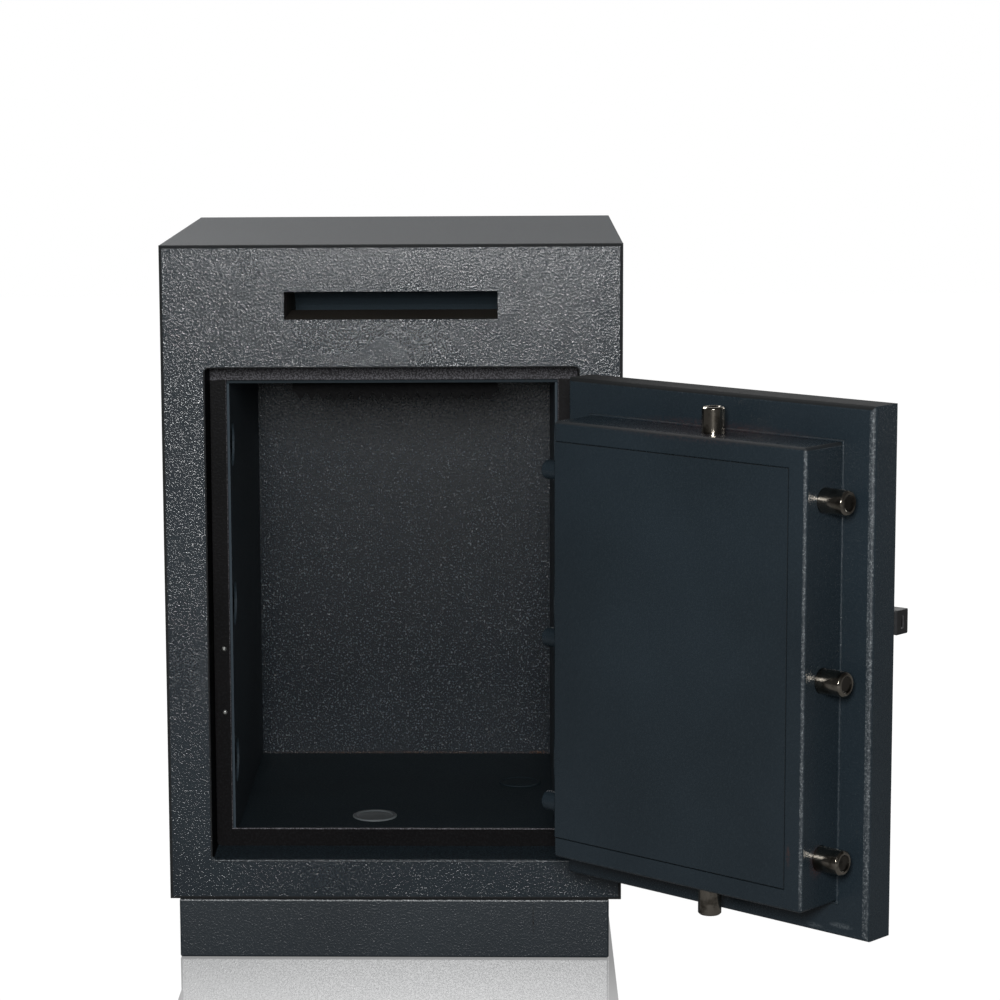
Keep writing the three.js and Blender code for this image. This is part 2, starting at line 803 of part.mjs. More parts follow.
function boltBox() {
  const s0 = boxAcross;
  const s1 = boxAcross + boxWidth;
  const z0 = boxSill;
  const z1 = boxSill + boxHeight;
  const faceShape = doorRectangle(s0, z0, s1, z1, boxRound + boxCornerSpare);
  const faced = softPlate(faceShape, boxDepth - seat, boxRound);
  const shell = upright(faced, inward(boxDepth));
  const lipDepth = boxDepth - seat - coverThickness;
  const cavity = doorBlock(
    [s0 + boxWall, -overrun, z0 + boxWall], [s1 - boxWall, lipDepth - boxWall, z1 - boxWall]);
  const rim = doorBlock(
    [s0 + boxFlange, lipDepth, z0 + boxFlange], [s1 - boxFlange, boxDepth + overrun, z1 - boxFlange]);
  const inset = boxFlange + coverLip;
  const mouth = doorBlock(
    [s0 + inset, lipDepth - boxWall - overrun, z0 + inset], [s1 - inset, boxDepth, z1 - inset]);
  const sideHoles = sideBoltHeights.map((z) => boltHole(sideBoltRadius)
    .translate(across(s1 - boxWall / 2), inward(boltDepth), z));
  const dogHoles = dogHeights.map((z) => boltHole(dogSpigotRadius)
    .translate(across(s0 + boxWall / 2), inward(dogDepth), z));
  const endHole = alongZ(rod(endBoltRadius + boltClearance, z0 - overrun, z1 + overrun));
  return cut(shell, cavity, rim, mouth, ...sideHoles, ...dogHoles,
    endHole.translate(across(endBoltAcross), inward(boltDepth), 0));
}

function boltHole(radius) {
  return alongX(rod(radius + boltClearance, -boxWall, boxWall));
}

function coverPlate() {
  const inset = boxFlange + coverGap;
  const shape = doorRectangle(
    boxAcross + inset, boxSill + inset, boxAcross + boxWidth - inset, boxSill + boxHeight - inset);
  return upright(softPlate(shape, coverThickness, coverRound), inward(boxDepth));
}

piece(door, 'door_slab', slabPlate(), smoothPaint());
piece(door, 'bolt_box', boltBox(), smoothPaint());
piece(door, 'cover_panel', coverPlate(), smoothPaint());

// Fixed dogs on the hinge side: a domed stub with a spigot through the box wall

function fixedDog(height) {
  const dome = dogRadius * dogDomeShare;
  const shape = new THREE.Path();
  shape.moveTo(0, -dogSpigotLength);
  shape.lineTo(dogSpigotRadius, -dogSpigotLength);
  shape.lineTo(dogSpigotRadius, seat);
  shape.lineTo(dogRadius, seat);
  shape.lineTo(dogRadius, dogProud - dome);
  shape.absellipse(0, dogProud - dome, dogRadius, dome, 0, Math.PI / 2, false, 0);
  const points = shape.getPoints(domeSegments);
  points[points.length - 1].x = 0;
  const dog = new THREE.LatheGeometry(points, roundSegments);
  return alongX(dog).translate(across(boxAcross), inward(dogDepth), height);
}

dogHeights.forEach((height, i) => {
  piece(door, `hinge_dog_${['lower', 'middle', 'upper'][i]}`, fixedDog(height), smoothPaint());
});

// Bolts: turned bars with a chamfered, dished end

function boltBar(radius, length) {
  return turned([
    [0, 0],
    [radius, 0],
    [radius, length - boltChamfer],
    [radius - boltChamfer * boltEdgeShare, length - boltChamfer * boltEdgeShare],
    [radius - boltChamfer, length],
    [boltEndRecessRadius, length],
    [boltEndRecessRadius - boltEndRecess, length - boltEndRecess],
    [0, length - boltEndRecess],
  ]);
}

// The side bolts start at the carriage's flange, which is centred on the cam pin when thrown
const sideBoltInner = spindleAcross + pinThrownRadius + carriageThickness / 2;

const sideBolts = new THREE.Group();
door.add(sideBolts);

sideBoltHeights.forEach((height, i) => {
  const tip = boxAcross + boxWidth + sideBoltThrow;
  const bar = alongMinusX(boltBar(sideBoltRadius, tip - sideBoltInner - seat));
  bar.translate(across(sideBoltInner + seat), inward(boltDepth), height);
  piece(sideBolts, `side_bolt_${['lower', 'middle', 'upper'][i]}`, bar, chromedSteel());
});

// Carriage: an angle bar that carries the side bolts, slotted for its two studs, with the cam pin
function sideCarriage() {
  const bottom = sideBoltHeights[0] - carriageOverhang;
  const top = sideBoltHeights[sideBoltHeights.length - 1] + carriageOverhang;
  const web = doorRectangle(sideBoltInner - carriageWeb, bottom, sideBoltInner, top);
  const studStart = across(carriageStudAcross());
  carriageStudHeights.forEach((z) => web.holes.push(
    slotPath(studStart - boltTravel, z, studStart, z, studRadius + pinClearance)));
  const webPlate = uprightPlate(web, inward(carriageDepth), carriageThickness, domeSegments);
  const flange = doorBlock(
    [sideBoltInner - carriageThickness, carriageDepth, bottom],
    [sideBoltInner, carriageDepth + carriageFlange, top]);
  const pin = camPin(carriageDepth).translate(across(spindleAcross + pinThrownRadius), 0, spindleHeight);
  return join(webPlate, flange, pin);
}

function carriageStudAcross() {
  return sideBoltInner - carriageStudDrop;
}

// Pin that hangs from a slide into the cam's slot and stops short of the cam's far face
function camPin(slideFace) {
  const root = inward(slideFace + slideThickness / 2);
  return rod(pinRadius, inward(camDepth + pinLift), root, smallSegments);
}

piece(sideBolts, 'side_carriage', sideCarriage(), platedSteel());

// Top and bottom slides: mirror images about the spindle, each with an ear for its cam pin

function endSlide(direction, lugDistance, stripStart, stripWidth) {
  const at = (s, h) => [across(s), spindleHeight + direction * h];
  const s0 = endBoltAcross - slideWidth / 2;
  const s1 = endBoltAcross + slideWidth / 2;
  const ear = spindleAcross + slideEar;
  const earLow = pinThrownRadius - slideEar;
  const earHigh = pinThrownRadius + slideEar;
  const shape = outline([
    at(s0, stripStart),
    at(s0 + stripWidth, stripStart),
    at(s0 + stripWidth, earLow),
    at(ear, earLow),
    at(ear, earHigh),
    at(s1, earHigh + slideWidth / 2),
    at(s1, lugDistance),
    at(s0, lugDistance),
  ]);
  shape.holes.push(slotPath(
    ...at(endBoltAcross, slideStudOffset),
    ...at(endBoltAcross, slideStudOffset + boltTravel), studRadius + pinClearance));
  const plate = uprightPlate(shape, inward(slideDepth), slideThickness, domeSegments);
  const [, lugA] = at(0, lugDistance);
  const [, lugB] = at(0, lugDistance - slideLugThickness);
  const lug = doorBlock(
    [endBoltAcross - slideWidth / 2, slideDepth, Math.min(lugA, lugB)],
    [endBoltAcross + slideWidth / 2, boltDepth + endBoltRadius, Math.max(lugA, lugB)]);
  const [pinX, pinZ] = at(spindleAcross, pinThrownRadius);
  return join(plate, lug, camPin(slideDepth).translate(pinX, 0, pinZ));
}

const topBoltInner = boxSill + boxHeight - endBoltInside;
const bottomBoltInner = boxSill + endBoltInside;

const topBolt = new THREE.Group();
door.add(topBolt);
const topBar = alongZ(boltBar(endBoltRadius, endBoltInside + topBoltThrow));
topBar.translate(across(endBoltAcross), inward(boltDepth), topBoltInner);
piece(topBolt, 'top_bolt', topBar, chromedSteel());
piece(topBolt, 'top_slide', topSlide(), platedSteel());

// The top slide is notched so that the bottom slide's lock strip can rise beside it
function topSlide() {
  const reach = topBoltInner - seat - spindleHeight;
  return endSlide(1, reach, pinThrownRadius + slideEar, lockStripWidth + slideGap);
}

const bottomBolt = new THREE.Group();
door.add(bottomBolt);
const bottomBar = boltBar(endBoltRadius, endBoltInside + bottomBoltThrow).rotateX(-Math.PI / 2);
bottomBar.translate(across(endBoltAcross), inward(boltDepth), bottomBoltInner);
piece(bottomBolt, 'bottom_bolt', bottomBar, chromedSteel());

// The bottom slide reaches up beside the lock with a tab that the lock's bolt stands over when locked
function bottomSlideWithTab() {
  const reach = spindleHeight - bottomBoltInner - seat;
  const slide = endSlide(-1, reach, lockTabDistance(), lockStripWidth);
  const edge = endBoltAcross - slideWidth / 2;
  const tabTop = spindleHeight - lockTabDistance();
  const tab = doorBlock(
    [edge - lockTabReach, slideDepth, tabTop - lockTabHeight],
    [edge + lockStripWidth / 2, slideDepth + slideThickness, tabTop]);
  return join(slide, tab);
}

function lockTabDistance() {
  return lockBoltHeight / 2 + 2 * seat;
}

piece(bottomBolt, 'bottom_slide', bottomSlideWithTab(), platedSteel());

// Shoulder studs on the slab that guide the carriage and the two slides in their slots

function shoulderStud(s, z, plateFace, plateThickness) {
  const shoulder = inward(plateFace) - seat;
  const headFace = inward(plateFace + plateThickness) + seat;
  const profile = [
    [0, inward(studFoot)],
    [studCollarRadius, inward(studFoot)],
    [studCollarRadius, shoulder],
    [studRadius, shoulder],
    [studRadius, headFace],
    [studCollarRadius, headFace],
    [studCollarRadius, headFace + studHeadHeight],
    [0, headFace + studHeadHeight],
  ];
  return turned(profile, smallSegments).translate(across(s), 0, z);
}

['lower', 'upper'].forEach((place, i) => {
  const slideStudHeight = spindleHeight + (2 * i - 1) * slideStudOffset;
  const carriageStud = shoulderStud(
    carriageStudAcross(), carriageStudHeights[i], carriageDepth, carriageThickness);
  const slideStud = shoulderStud(endBoltAcross, slideStudHeight, slideDepth, slideThickness);
  piece(door, `carriage_stud_${place}`, carriageStud, platedSteel());
  piece(door, `slide_stud_${place}`, slideStud, platedSteel());
});

// Handle: lever, spindle and cam turn together about the spindle's axis

const handle = new THREE.Group();
handle.position.set(across(spindleAcross), 0, spindleHeight);
door.add(handle);

// One cam slot: as the cam turns through a quarter, its centre line draws the pin in by the travel
function spiralSlot(pinAngle) {
  const half = pinRadius + pinClearance;
  const place = (turn, offset) => {
    const radius = pinThrownRadius - camRate * turn;
    const angle = pinAngle - turn;
    const tangent = new THREE.Vector2(
      -camRate * Math.cos(angle) + radius * Math.sin(angle),
      -camRate * Math.sin(angle) - radius * Math.cos(angle)).normalize();
    return [
      radius * Math.cos(angle) - tangent.y * offset,
      radius * Math.sin(angle) + tangent.x * offset,
      tangent,
    ];
  };
  const points = [];
  const capRound = (turn, startOffset) => {
    const [x, y, tangent] = place(turn, 0);
    const start = Math.atan2(tangent.x, -tangent.y) + (startOffset < 0 ? Math.PI : 0);
    for (let i = 1; i < capSegments; i += 1) {
      const angle = start - (Math.PI * i) / capSegments;
      points.push([x + half * Math.cos(angle), y + half * Math.sin(angle)]);
    }
  };
  for (let i = 0; i <= spiralSegments; i += 1) {
    points.push(place((Math.PI / 2) * (i / spiralSegments), half).slice(0, 2));
  }
  capRound(Math.PI / 2, half);
  for (let i = spiralSegments; i >= 0; i -= 1) {
    points.push(place((Math.PI / 2) * (i / spiralSegments), -half).slice(0, 2));
  }
  capRound(0, -half);
  return outline(points);
}

function camPlate() {
  const disc = new THREE.Shape().absarc(0, 0, camRadius, 0, Math.PI * 2, false);
  disc.holes.push(circle(0, 0, spindleRadius + seat));
  [Math.PI / 2, Math.PI, Math.PI * 1.5].forEach((angle) => disc.holes.push(spiralSlot(angle)));
  const plate = uprightPlate(disc, inward(camDepth), camThickness, roundSegments);
  const hub = turned([
    [spindleRadius + seat, inward(camHubDepth)],
    [camHubRadius, inward(camHubDepth)],
    [camHubRadius, inward(camDepth + camThickness / 2)],
    [spindleRadius + seat, inward(camDepth + camThickness / 2)],
    [spindleRadius + seat, inward(camHubDepth)],
  ]);
  return join(plate, hub);
}

function spindleRod() {
  const outer = inward(-slabThickness - leverStand + leverBoreBottom());
  return rod(spindleRadius, outer, inward(camDepth + camThickness), smallSegments);
}

// Distance from the lever's inner face to the bottom of its blind bore, measured towards the slab
function leverBoreBottom() {
  return leverStand - roseThickness - leverBoreDepth;
}

function leverBody() {
  const inner = inward(-slabThickness - leverStand);
  const half = leverEndHeight / 2;
  const waist = leverWaistHeight / 2;
  const waistX = -leverLength * leverWaistShare;
  const rootX = -leverHubRadius * Math.cos(leverRootAngle);
  const rootY = leverHubRadius * Math.sin(leverRootAngle);
  const shape = new THREE.Shape();
  shape.moveTo(-leverLength, -half);
  shape.quadraticCurveTo(waistX, -waist, rootX, -rootY);
  shape.absarc(0, 0, leverHubRadius, leverRootAngle - Math.PI, Math.PI - leverRootAngle, false);
  shape.quadraticCurveTo(waistX, waist, -leverLength, half);
  shape.closePath();
  const bar = upright(extrudeSoft(shape, leverThickness, leverRound, capSegments), inner);
  const neckStart = inward(-slabThickness - roseThickness - seat * 2);
  const neck = rod(leverNeckRadius, inner - leverThickness / 2, neckStart, roundSegments);
  const boreEnd = neckStart - leverBoreDepth;
  const bore = rod(spindleRadius + seat, boreEnd, neckStart + overrun, smallSegments);
  const middle = inner - leverThickness / 2;
  const slot = block(
    [-leverLength - overrun, middle - leverSlotWidth / 2, -leverSlotHeight / 2],
    [-leverLength + leverSlotDepth, middle + leverSlotWidth / 2, leverSlotHeight / 2]);
  return cut(join(bar, neck), bore, slot);
}

piece(handle, 'handle_lever', leverBody(), blackPlastic());
piece(handle, 'handle_spindle', spindleRod(), platedSteel());
piece(handle, 'cam_disc', camPlate(), platedSteel());

// Fixed pieces round the spindle: a rose on the outer face and a bush through the slab

function handleRose() {
  const face = inward(-slabThickness) - seat;
  const bore = spindleRadius + turningGap;
  return turned([
    [bore, face - roseThickness],
    [roseRadius - roseRound, face - roseThickness],
    [roseRadius, face - roseThickness + roseRound],
    [roseRadius, face],
    [bore, face],
    [bore, face - roseThickness],
  ]).translate(across(spindleAcross), 0, spindleHeight);
}

function spindleBush() {
  const bore = spindleRadius + turningGap;
  const from = inward(-slabThickness) + seat;
  const to = inward(0) - seat;
  return turned([
    [bore, from], [bore + bushWall, from], [bore + bushWall, to], [bore, to], [bore, from],
  ]).translate(across(spindleAcross), 0, spindleHeight);
}

piece(door, 'handle_rose', handleRose(), blackPlastic());
piece(door, 'spindle_bush', spindleBush(), bronze());

// Lock: a case on the slab's inner face, its sliding bolt, and a keyhole plate on the outer face

function lockCase() {
  const z0 = spindleHeight - lockHeight / 2;
  const shell = doorBlock([lockAcross, studFoot, z0], [lockAcross + lockWidth, lockDepth, z0 + lockHeight]);
  const tunnel = doorBlock(
    [lockAcross + lockWidth - lockBoltLength - overrun, lockBoltInner() - seat,
      spindleHeight - lockBoltHeight / 2 - seat],
    [lockAcross + lockWidth + overrun, lockBoltInner() + lockBoltWidth + seat,
      spindleHeight + lockBoltHeight / 2 + seat]);
  const keyway = rod(keyholeRadius, inward(-overrun), inward(lockBoltInner() - seat * 2), smallSegments);
  return cut(shell, tunnel, keyway.translate(across(keyholeAcross), 0, spindleHeight));
}

function lockBoltInner() {
  return slideDepth + slideThickness / 2 - lockBoltWidth / 2;
}

function lockBoltBar() {
  const tip = lockAcross + lockWidth + lockBoltRest;
  return doorBlock(
    [tip - lockBoltLength, lockBoltInner(), spindleHeight - lockBoltHeight / 2],
    [tip, lockBoltInner() + lockBoltWidth, spindleHeight + lockBoltHeight / 2]);
}

function keyholePlate() {
  const shape = new THREE.Shape().absarc(0, 0, escutcheonRadius, 0, Math.PI * 2, false);
  const hole = new THREE.Path();
  const half = keyholeSlotWidth / 2;
  const meet = Math.asin(half / keyholeRadius);
  hole.moveTo(half, -keyholeDrop + half);
  hole.absarc(0, 0, keyholeRadius, -Math.PI / 2 + meet, Math.PI * 1.5 - meet, false);
  hole.lineTo(-half, -keyholeDrop + half);
  hole.closePath();
  shape.holes.push(hole);
  const plate = upright(softPlate(shape, escutcheonThickness, escutcheonRound, circleSteps), 0);
  return plate.rotateZ(Math.PI)
    .translate(across(keyholeAcross), inward(-slabThickness) - seat - escutcheonThickness, spindleHeight);
}

piece(door, 'lock_case', lockCase(), platedSteel());
const lockBolt = new THREE.Group();
door.add(lockBolt);
piece(lockBolt, 'lock_bolt', lockBoltBar(), bronze());
piece(door, 'keyhole_plate', keyholePlate(), chromedSteel());

export default safe;
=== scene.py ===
# Deposit safe on a plinth, its door standing open with the bolts thrown.
# Sizes in the dictionaries are millimetres; the frame gives every place in metres.

import json
import math

import bmesh
import bpy
from mathutils import Matrix, Vector


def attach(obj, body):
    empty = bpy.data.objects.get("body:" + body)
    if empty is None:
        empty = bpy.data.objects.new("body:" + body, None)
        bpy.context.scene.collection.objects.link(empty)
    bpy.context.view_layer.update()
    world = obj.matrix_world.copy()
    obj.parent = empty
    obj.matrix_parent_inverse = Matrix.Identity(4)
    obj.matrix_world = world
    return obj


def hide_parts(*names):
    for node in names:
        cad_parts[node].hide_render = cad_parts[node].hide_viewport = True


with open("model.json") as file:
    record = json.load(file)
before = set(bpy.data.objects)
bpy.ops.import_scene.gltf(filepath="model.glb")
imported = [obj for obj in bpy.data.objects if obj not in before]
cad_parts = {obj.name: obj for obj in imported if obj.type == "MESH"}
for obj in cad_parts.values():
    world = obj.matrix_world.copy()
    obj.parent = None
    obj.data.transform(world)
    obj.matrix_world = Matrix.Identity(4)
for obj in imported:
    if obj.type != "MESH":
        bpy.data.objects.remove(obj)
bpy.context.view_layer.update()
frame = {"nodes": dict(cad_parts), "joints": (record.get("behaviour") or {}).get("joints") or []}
nodes = frame["nodes"]
joints = {joint["name"]: joint for joint in frame["joints"]}
mm = 0.001
print("frame loaded:", len(nodes), "nodes")

# Axes of the open door: X runs from the free edge to the hinges, Y from the outer face inwards
hingePlace = Vector(joints["door_swing"]["pos_m"])
doorIn = -Vector(joints["handle_turn"]["axis"])
doorAcross = Vector((doorIn.y, -doorIn.x, 0))
doorMatrix = Matrix((doorAcross, doorIn, (0, 0, 1))).transposed().to_4x4()
doorMatrix.translation = hingePlace
plain = Matrix.Identity(4)


# Nodes and colours

def hexColour(code):
    # an sRGB hex code as the linear colour that a shader takes
    channels = [int(code[i:i + 2], 16) / 255 for i in (1, 3, 5)]
    return (*[c / 12.92 if c <= 0.04045 else ((c + 0.055) / 1.055) ** 2.4 for c in channels], 1)


def addNode(tree, kind, settings=None, links=None):
    # a setting is a socket's value, a ramp's stops or a property of the node
    node = tree.nodes.new(kind)
    for key, value in (settings or {}).items():
        if key == "stops":
            ramp = node.color_ramp
            ramp.elements[0].position = value[0][0]
            ramp.elements[1].position = value[-1][0]
            for place, _ in value[1:-1]:
                ramp.elements.new(place)
            for element, (_, colour) in zip(ramp.elements, value):
                element.color = hexColour(colour)
        elif isinstance(key, int) or key in node.inputs:
            node.inputs[key].default_value = value
        else:
            setattr(node, key, value)
    for key, source in (links or {}).items():
        tree.links.new(source, node.inputs[key])
    return node


def newMaterial(name, settings):
    material = bpy.data.materials.new(name)
    material.use_nodes = True
    tree = material.node_tree
    tree.nodes.clear()
    shader = addNode(tree, "ShaderNodeBsdfPrincipled", settings)
    addNode(tree, "ShaderNodeOutputMaterial", {}, {"Surface": shader.outputs[0]})
    return material, tree, shader


def scaleOf(pitch):
    return 1 / (pitch * mm)  # texture scale for features this many millimetres apart


# Sockets of the Mix node: its factor, its two numbers, its two colours and the colour that it gives
factor = 0
numberA = 2
numberB = 3
colourA = 6
colourB = 7
colourOut = 2


# Paints: every coat has two ground colours, ridges that glint and carry painted glints, pimples, edges made
# pale by wear and painted sheen or dark by painted shade, and marks.
# A mark is its centre, its half sizes, its colour and its strength. Glint and edge shares run from 0 to 1

# Structured powder coat, a baked polyester film that flowed into small ridges: it glints in the light
structuredCoat = {
    "dark": "#1b2228", "light": "#222a30", "glint": "#8f969b", "paleTone": "#868c90", "shade": "#0a0d0f",
    "shine": 0.65, "roughLow": 0.15, "roughHigh": 0.25, "scuffRough": 0.4,
    "broadPitch": 260, "ridgePitch": 2.2, "ridgeFrom": 0.45, "ridgeTo": 0.69, "pimplePitch": 2.6,
    "relief": 0.18, "glintShare": 0.03, "paleFrom": 0.38, "edgeShare": 0.8,
    "marks": [((232.8, -235, 766.7), (2.2, 3, 1.6), "#050505", 1)],  # a chip by the upper corner
}
# The same film on the folded shell looks matt, as its light comes in at a low angle
shellCoat = dict(structuredCoat, shine=0.5, roughLow=0.6, roughHigh=0.7)
# On the plinth it is a calmer dark grey with one scratch, and its upper edge gets a pale painted highlight
plinthCoat = dict(structuredCoat, roughLow=0.32, roughHigh=0.4, relief=0.12, paleTone="#a2a6a8", edgeShare=0.85,
                  paleFrom=0.4, marks=[((149.9, -233, 44), (1.3, 3, 21), "#0b0d0f", 1.4)])
# On the compartment's rear wall it is darker, painted shade of the compartment, and it sparkles partly
# with painted glints, with a rusty line along the foot
rearCoat = dict(structuredCoat, dark="#0f161c", light="#131b22", glint="#a9b6c0", shine=0.6, ridgePitch=2.4,
                ridgeFrom=0.55, ridgeTo=0.7, relief=0.26, glintShare=0.2, roughLow=0.13, roughHigh=0.28,
                marks=[((-2, 223, 120.5), (230, 8, 3.4), "#3b2a20", 0.8),
                       ((160, 223, 121), (13, 8, 4), "#4a3222", 0.9)])
# Fine textured powder coat on the door: an even blue-grey with a faint sheen, pale where edges are rubbed
# and where a painted highlight runs beside the free edge.
# Its marks are grease by the lowest bolt, scuffs at the slab's lower corner and a tint over the housing
smoothCoat = {
    "dark": "#1a2329", "light": "#212b32", "glint": "#4a545a", "paleTone": "#9aa0a3", "shade": "#0b0d0e",
    "shine": 0.5, "roughLow": 0.22, "roughHigh": 0.3, "scuffRough": 0.7,
    "broadPitch": 210, "ridgePitch": 1.9, "ridgeFrom": 0.4, "ridgeTo": 0.7, "pimplePitch": 1.3,
    "relief": 0.09, "glintShare": 0.08, "paleFrom": 0.45, "edgeShare": 0.62,
    "marks": [((422, -560, 197), (14, 14, 19), "#4a2f28", 0.7),
              ((394, -567.6, 205), (3, 3, 13), "#43302c", 0.7),
              ((426, -518, 122), (13, 13, 3), "#6b7276", 0.3),
              ((449, -539, 127), (16, 16, 3.5), "#7a8185", 0.35),
              ((330, -440, 607), (130, 130, 9), "#3a2a2a", 0.6)],
}
# The same coat on the compartment's floor and ceiling, dull and almost black
linerCoat = dict(smoothCoat, dark="#161f24", light="#1d272d", glint="#2b3136", shine=0.15, roughLow=0.62,
                 roughHigh=0.74, marks=[])
# The side walls' coat, a little paler: painted light for the light that the lamps don't bring to the walls
wallCoat = dict(linerCoat, dark="#27323a", light="#303c44", shine=0.3)
# Primer in the chute: flat mid grey, made paler as painted light inside the dim slot
primerCoat = dict(linerCoat, dark="#333f46", light="#3e4a52", shine=0.2)
# Brushed black enamel on the ledge: deep black with a low gloss, painted pale as sheen where the ledge is
# toned light
blackCoat = {
    "dark": "#0a0a0b", "light": "#121112", "glint": "#2c2d2f", "paleTone": "#838288", "shade": "#040404",
    "shine": 0.06, "roughLow": 0.3, "roughHigh": 0.42, "scuffRough": 0.5,
    "broadPitch": 120, "ridgePitch": 2.6, "ridgeFrom": 0.4, "ridgeTo": 0.7, "pimplePitch": 1.6,
    "relief": 0.05, "glintShare": 0.2, "paleFrom": -0.6, "edgeShare": 0.9,
    "marks": [],
}
# Matt black enamel, which hardly reflects
mattCoat = dict(blackCoat, dark="#060607", light="#0a0a0b", shine=0.04, glintShare=0.06, roughLow=0.5,
                roughHigh=0.6, edgeShare=0.06)
# The same on the rebate, whose floor was left in the body's grey
jambCoat = dict(mattCoat, paleTone="#333f47", edgeShare=1)
# Brown-black enamel on the tray, dull, made paler as painted light inside the dim slot
trayCoat = dict(mattCoat, dark="#3d3935", light="#4c4741", shine=0.12)

# What all the paints share. Noise mostly runs from 0.3 to 0.7; specks and marks fade between two distances
film = {"ior": 1.5, "noiseLow": 0.3, "noiseHigh": 0.7, "hollow": -0.45, "paleTo": 0.6, "speckEdge": 0.6,
        "speckCore": 0.25, "speckLeast": 0.2, "patchFrom": 0.42, "patchTo": 0.56, "markCore": 0.3,
        "shadeShare": 0.9}


def paint(name, coat):
    material, tree, shader = newMaterial(name, {"Specular IOR Level": coat["shine"], "IOR": film["ior"]})
    place = addNode(tree, "ShaderNodeTexCoord").outputs["Object"]
    edges = addNode(tree, "ShaderNodeAttribute", {"attribute_name": "rounding"})

    # the film's relief
    ridges = addNode(tree, "ShaderNodeTexNoise",
                     {"Scale": scaleOf(coat["ridgePitch"]), "Detail": 2, "Roughness": 0.6, "Distortion": 0.3},
                     {"Vector": place})
    pimples = addNode(tree, "ShaderNodeTexVoronoi",
                      {"feature": "SMOOTH_F1", "Scale": scaleOf(coat["pimplePitch"]), "Smoothness": 0.5},
                      {"Vector": place})
    hollow = addNode(tree, "ShaderNodeMath", {"operation": "MULTIPLY", 1: film["hollow"]},
                     {0: pimples.outputs["Distance"]})
    raised = addNode(tree, "ShaderNodeMapRange",
                     {"interpolation_type": "SMOOTHSTEP", "From Min": coat["ridgeFrom"],
                      "From Max": coat["ridgeTo"]},
                     {"Value": ridges.outputs[0]})
    height = addNode(tree, "ShaderNodeMath", {"operation": "ADD"},
                     {0: raised.outputs[0], 1: hollow.outputs[0]})
    bump = addNode(tree, "ShaderNodeBump", {"Strength": 1, "Distance": coat["relief"] * mm},
                   {"Height": height.outputs[0]})

    # its colour, which drifts slowly, with glints painted as pale flecks on the ridges
    broad = addNode(tree, "ShaderNodeTexNoise", {"Scale": scaleOf(coat["broadPitch"]), "Detail": 3},
                    {"Vector": place})
    ground = addNode(tree, "ShaderNodeValToRGB",
                     {"stops": [(film["noiseLow"], coat["dark"]), (film["noiseHigh"], coat["light"])]},
                     {"Fac": broad.outputs[0]})
    glints = addNode(tree, "ShaderNodeMath", {"operation": "MULTIPLY", 1: coat["glintShare"]},
                     {0: raised.outputs[0]})
    paintedGlintMix = addNode(tree, "ShaderNodeMix", {"data_type": "RGBA", colourB: hexColour(coat["glint"])},
                      {factor: glints.outputs[0], colourA: ground.outputs[0]})

    # edges turn pale in broken specks, as wear and as painted sheen where their tone asks for it
    broken = addNode(tree, "ShaderNodeMapRange",
                     {"From Min": coat["paleFrom"], "From Max": film["paleTo"], "To Max": coat["edgeShare"]},
                     {"Value": ridges.outputs[0]})
    specks = addNode(tree, "ShaderNodeMapRange",
                     {"From Min": film["speckEdge"], "From Max": film["speckCore"],
                      "To Min": film["speckLeast"]},
                     {"Value": pimples.outputs["Distance"]})
    speckled = addNode(tree, "ShaderNodeMath", {"operation": "MULTIPLY"},
                       {0: broken.outputs[0], 1: specks.outputs[0]})
    wear = addNode(tree, "ShaderNodeMath", {"operation": "MULTIPLY"},
                   {0: edges.outputs["Fac"], 1: speckled.outputs[0]})
    paleTone = addNode(tree, "ShaderNodeMix", {"data_type": "RGBA", colourB: hexColour(coat["paleTone"])},
                   {factor: wear.outputs[0], colourA: paintedGlintMix.outputs[colourOut]})

    # marks, patchy as the ridges under them
    patches = addNode(tree, "ShaderNodeMapRange",
                      {"From Min": film["patchFrom"], "From Max": film["patchTo"]},
                      {"Value": ridges.outputs[0]})
    marked = paleTone.outputs[colourOut]
    for centre, reach, tint, share in coat["marks"]:
        away = addNode(tree, "ShaderNodeVectorMath", {"operation": "SUBTRACT", 1: Vector(centre) * mm},
                       {0: place})
        scaled = addNode(tree, "ShaderNodeVectorMath", {"operation": "DIVIDE", 1: Vector(reach) * mm},
                         {0: away.outputs[0]})
        far = addNode(tree, "ShaderNodeVectorMath", {"operation": "LENGTH"}, {0: scaled.outputs[0]})
        near = addNode(tree, "ShaderNodeMapRange",
                       {"From Min": 1, "From Max": film["markCore"], "To Max": share},
                       {"Value": far.outputs["Value"]})
        patchy = addNode(tree, "ShaderNodeMath", {"operation": "MULTIPLY"},
                         {0: near.outputs[0], 1: patches.outputs[0]})
        mark = addNode(tree, "ShaderNodeMix", {"data_type": "RGBA", colourB: hexColour(tint)},
                       {factor: patchy.outputs[0], colourA: marked})
        marked = mark.outputs[colourOut]

    # painted shade: edges toned as in shade turn dark and lose their gloss; scuffed and painted pale ones
    # turn rough
    depth = addNode(tree, "ShaderNodeMapRange", {"From Max": -1, "To Max": film["shadeShare"]},
                    {"Value": edges.outputs["Fac"]})
    shaded = addNode(tree, "ShaderNodeMix", {"data_type": "RGBA", colourB: hexColour(coat["shade"])},
                     {factor: depth.outputs[0], colourA: marked})
    rough = addNode(tree, "ShaderNodeMapRange",
                    {"From Min": film["noiseLow"], "From Max": film["noiseHigh"],
                     "To Min": coat["roughHigh"], "To Max": coat["roughLow"]},
                    {"Value": ridges.outputs[0]})
    dulled = addNode(tree, "ShaderNodeMix", {numberB: 1},
                     {factor: depth.outputs[0], numberA: rough.outputs[0]})
    scuffAndSheen = addNode(tree, "ShaderNodeMapRange", {"To Max": coat["scuffRough"]},
                      {"Value": edges.outputs["Fac"]})
    roughest = addNode(tree, "ShaderNodeMath", {"operation": "MAXIMUM"},
                       {0: dulled.outputs[0], 1: scuffAndSheen.outputs[0]})
    tree.links.new(shaded.outputs[colourOut], shader.inputs["Base Color"])
    tree.links.new(roughest.outputs[0], shader.inputs["Roughness"])
    tree.links.new(bump.outputs[0], shader.inputs["Normal"])
    return material


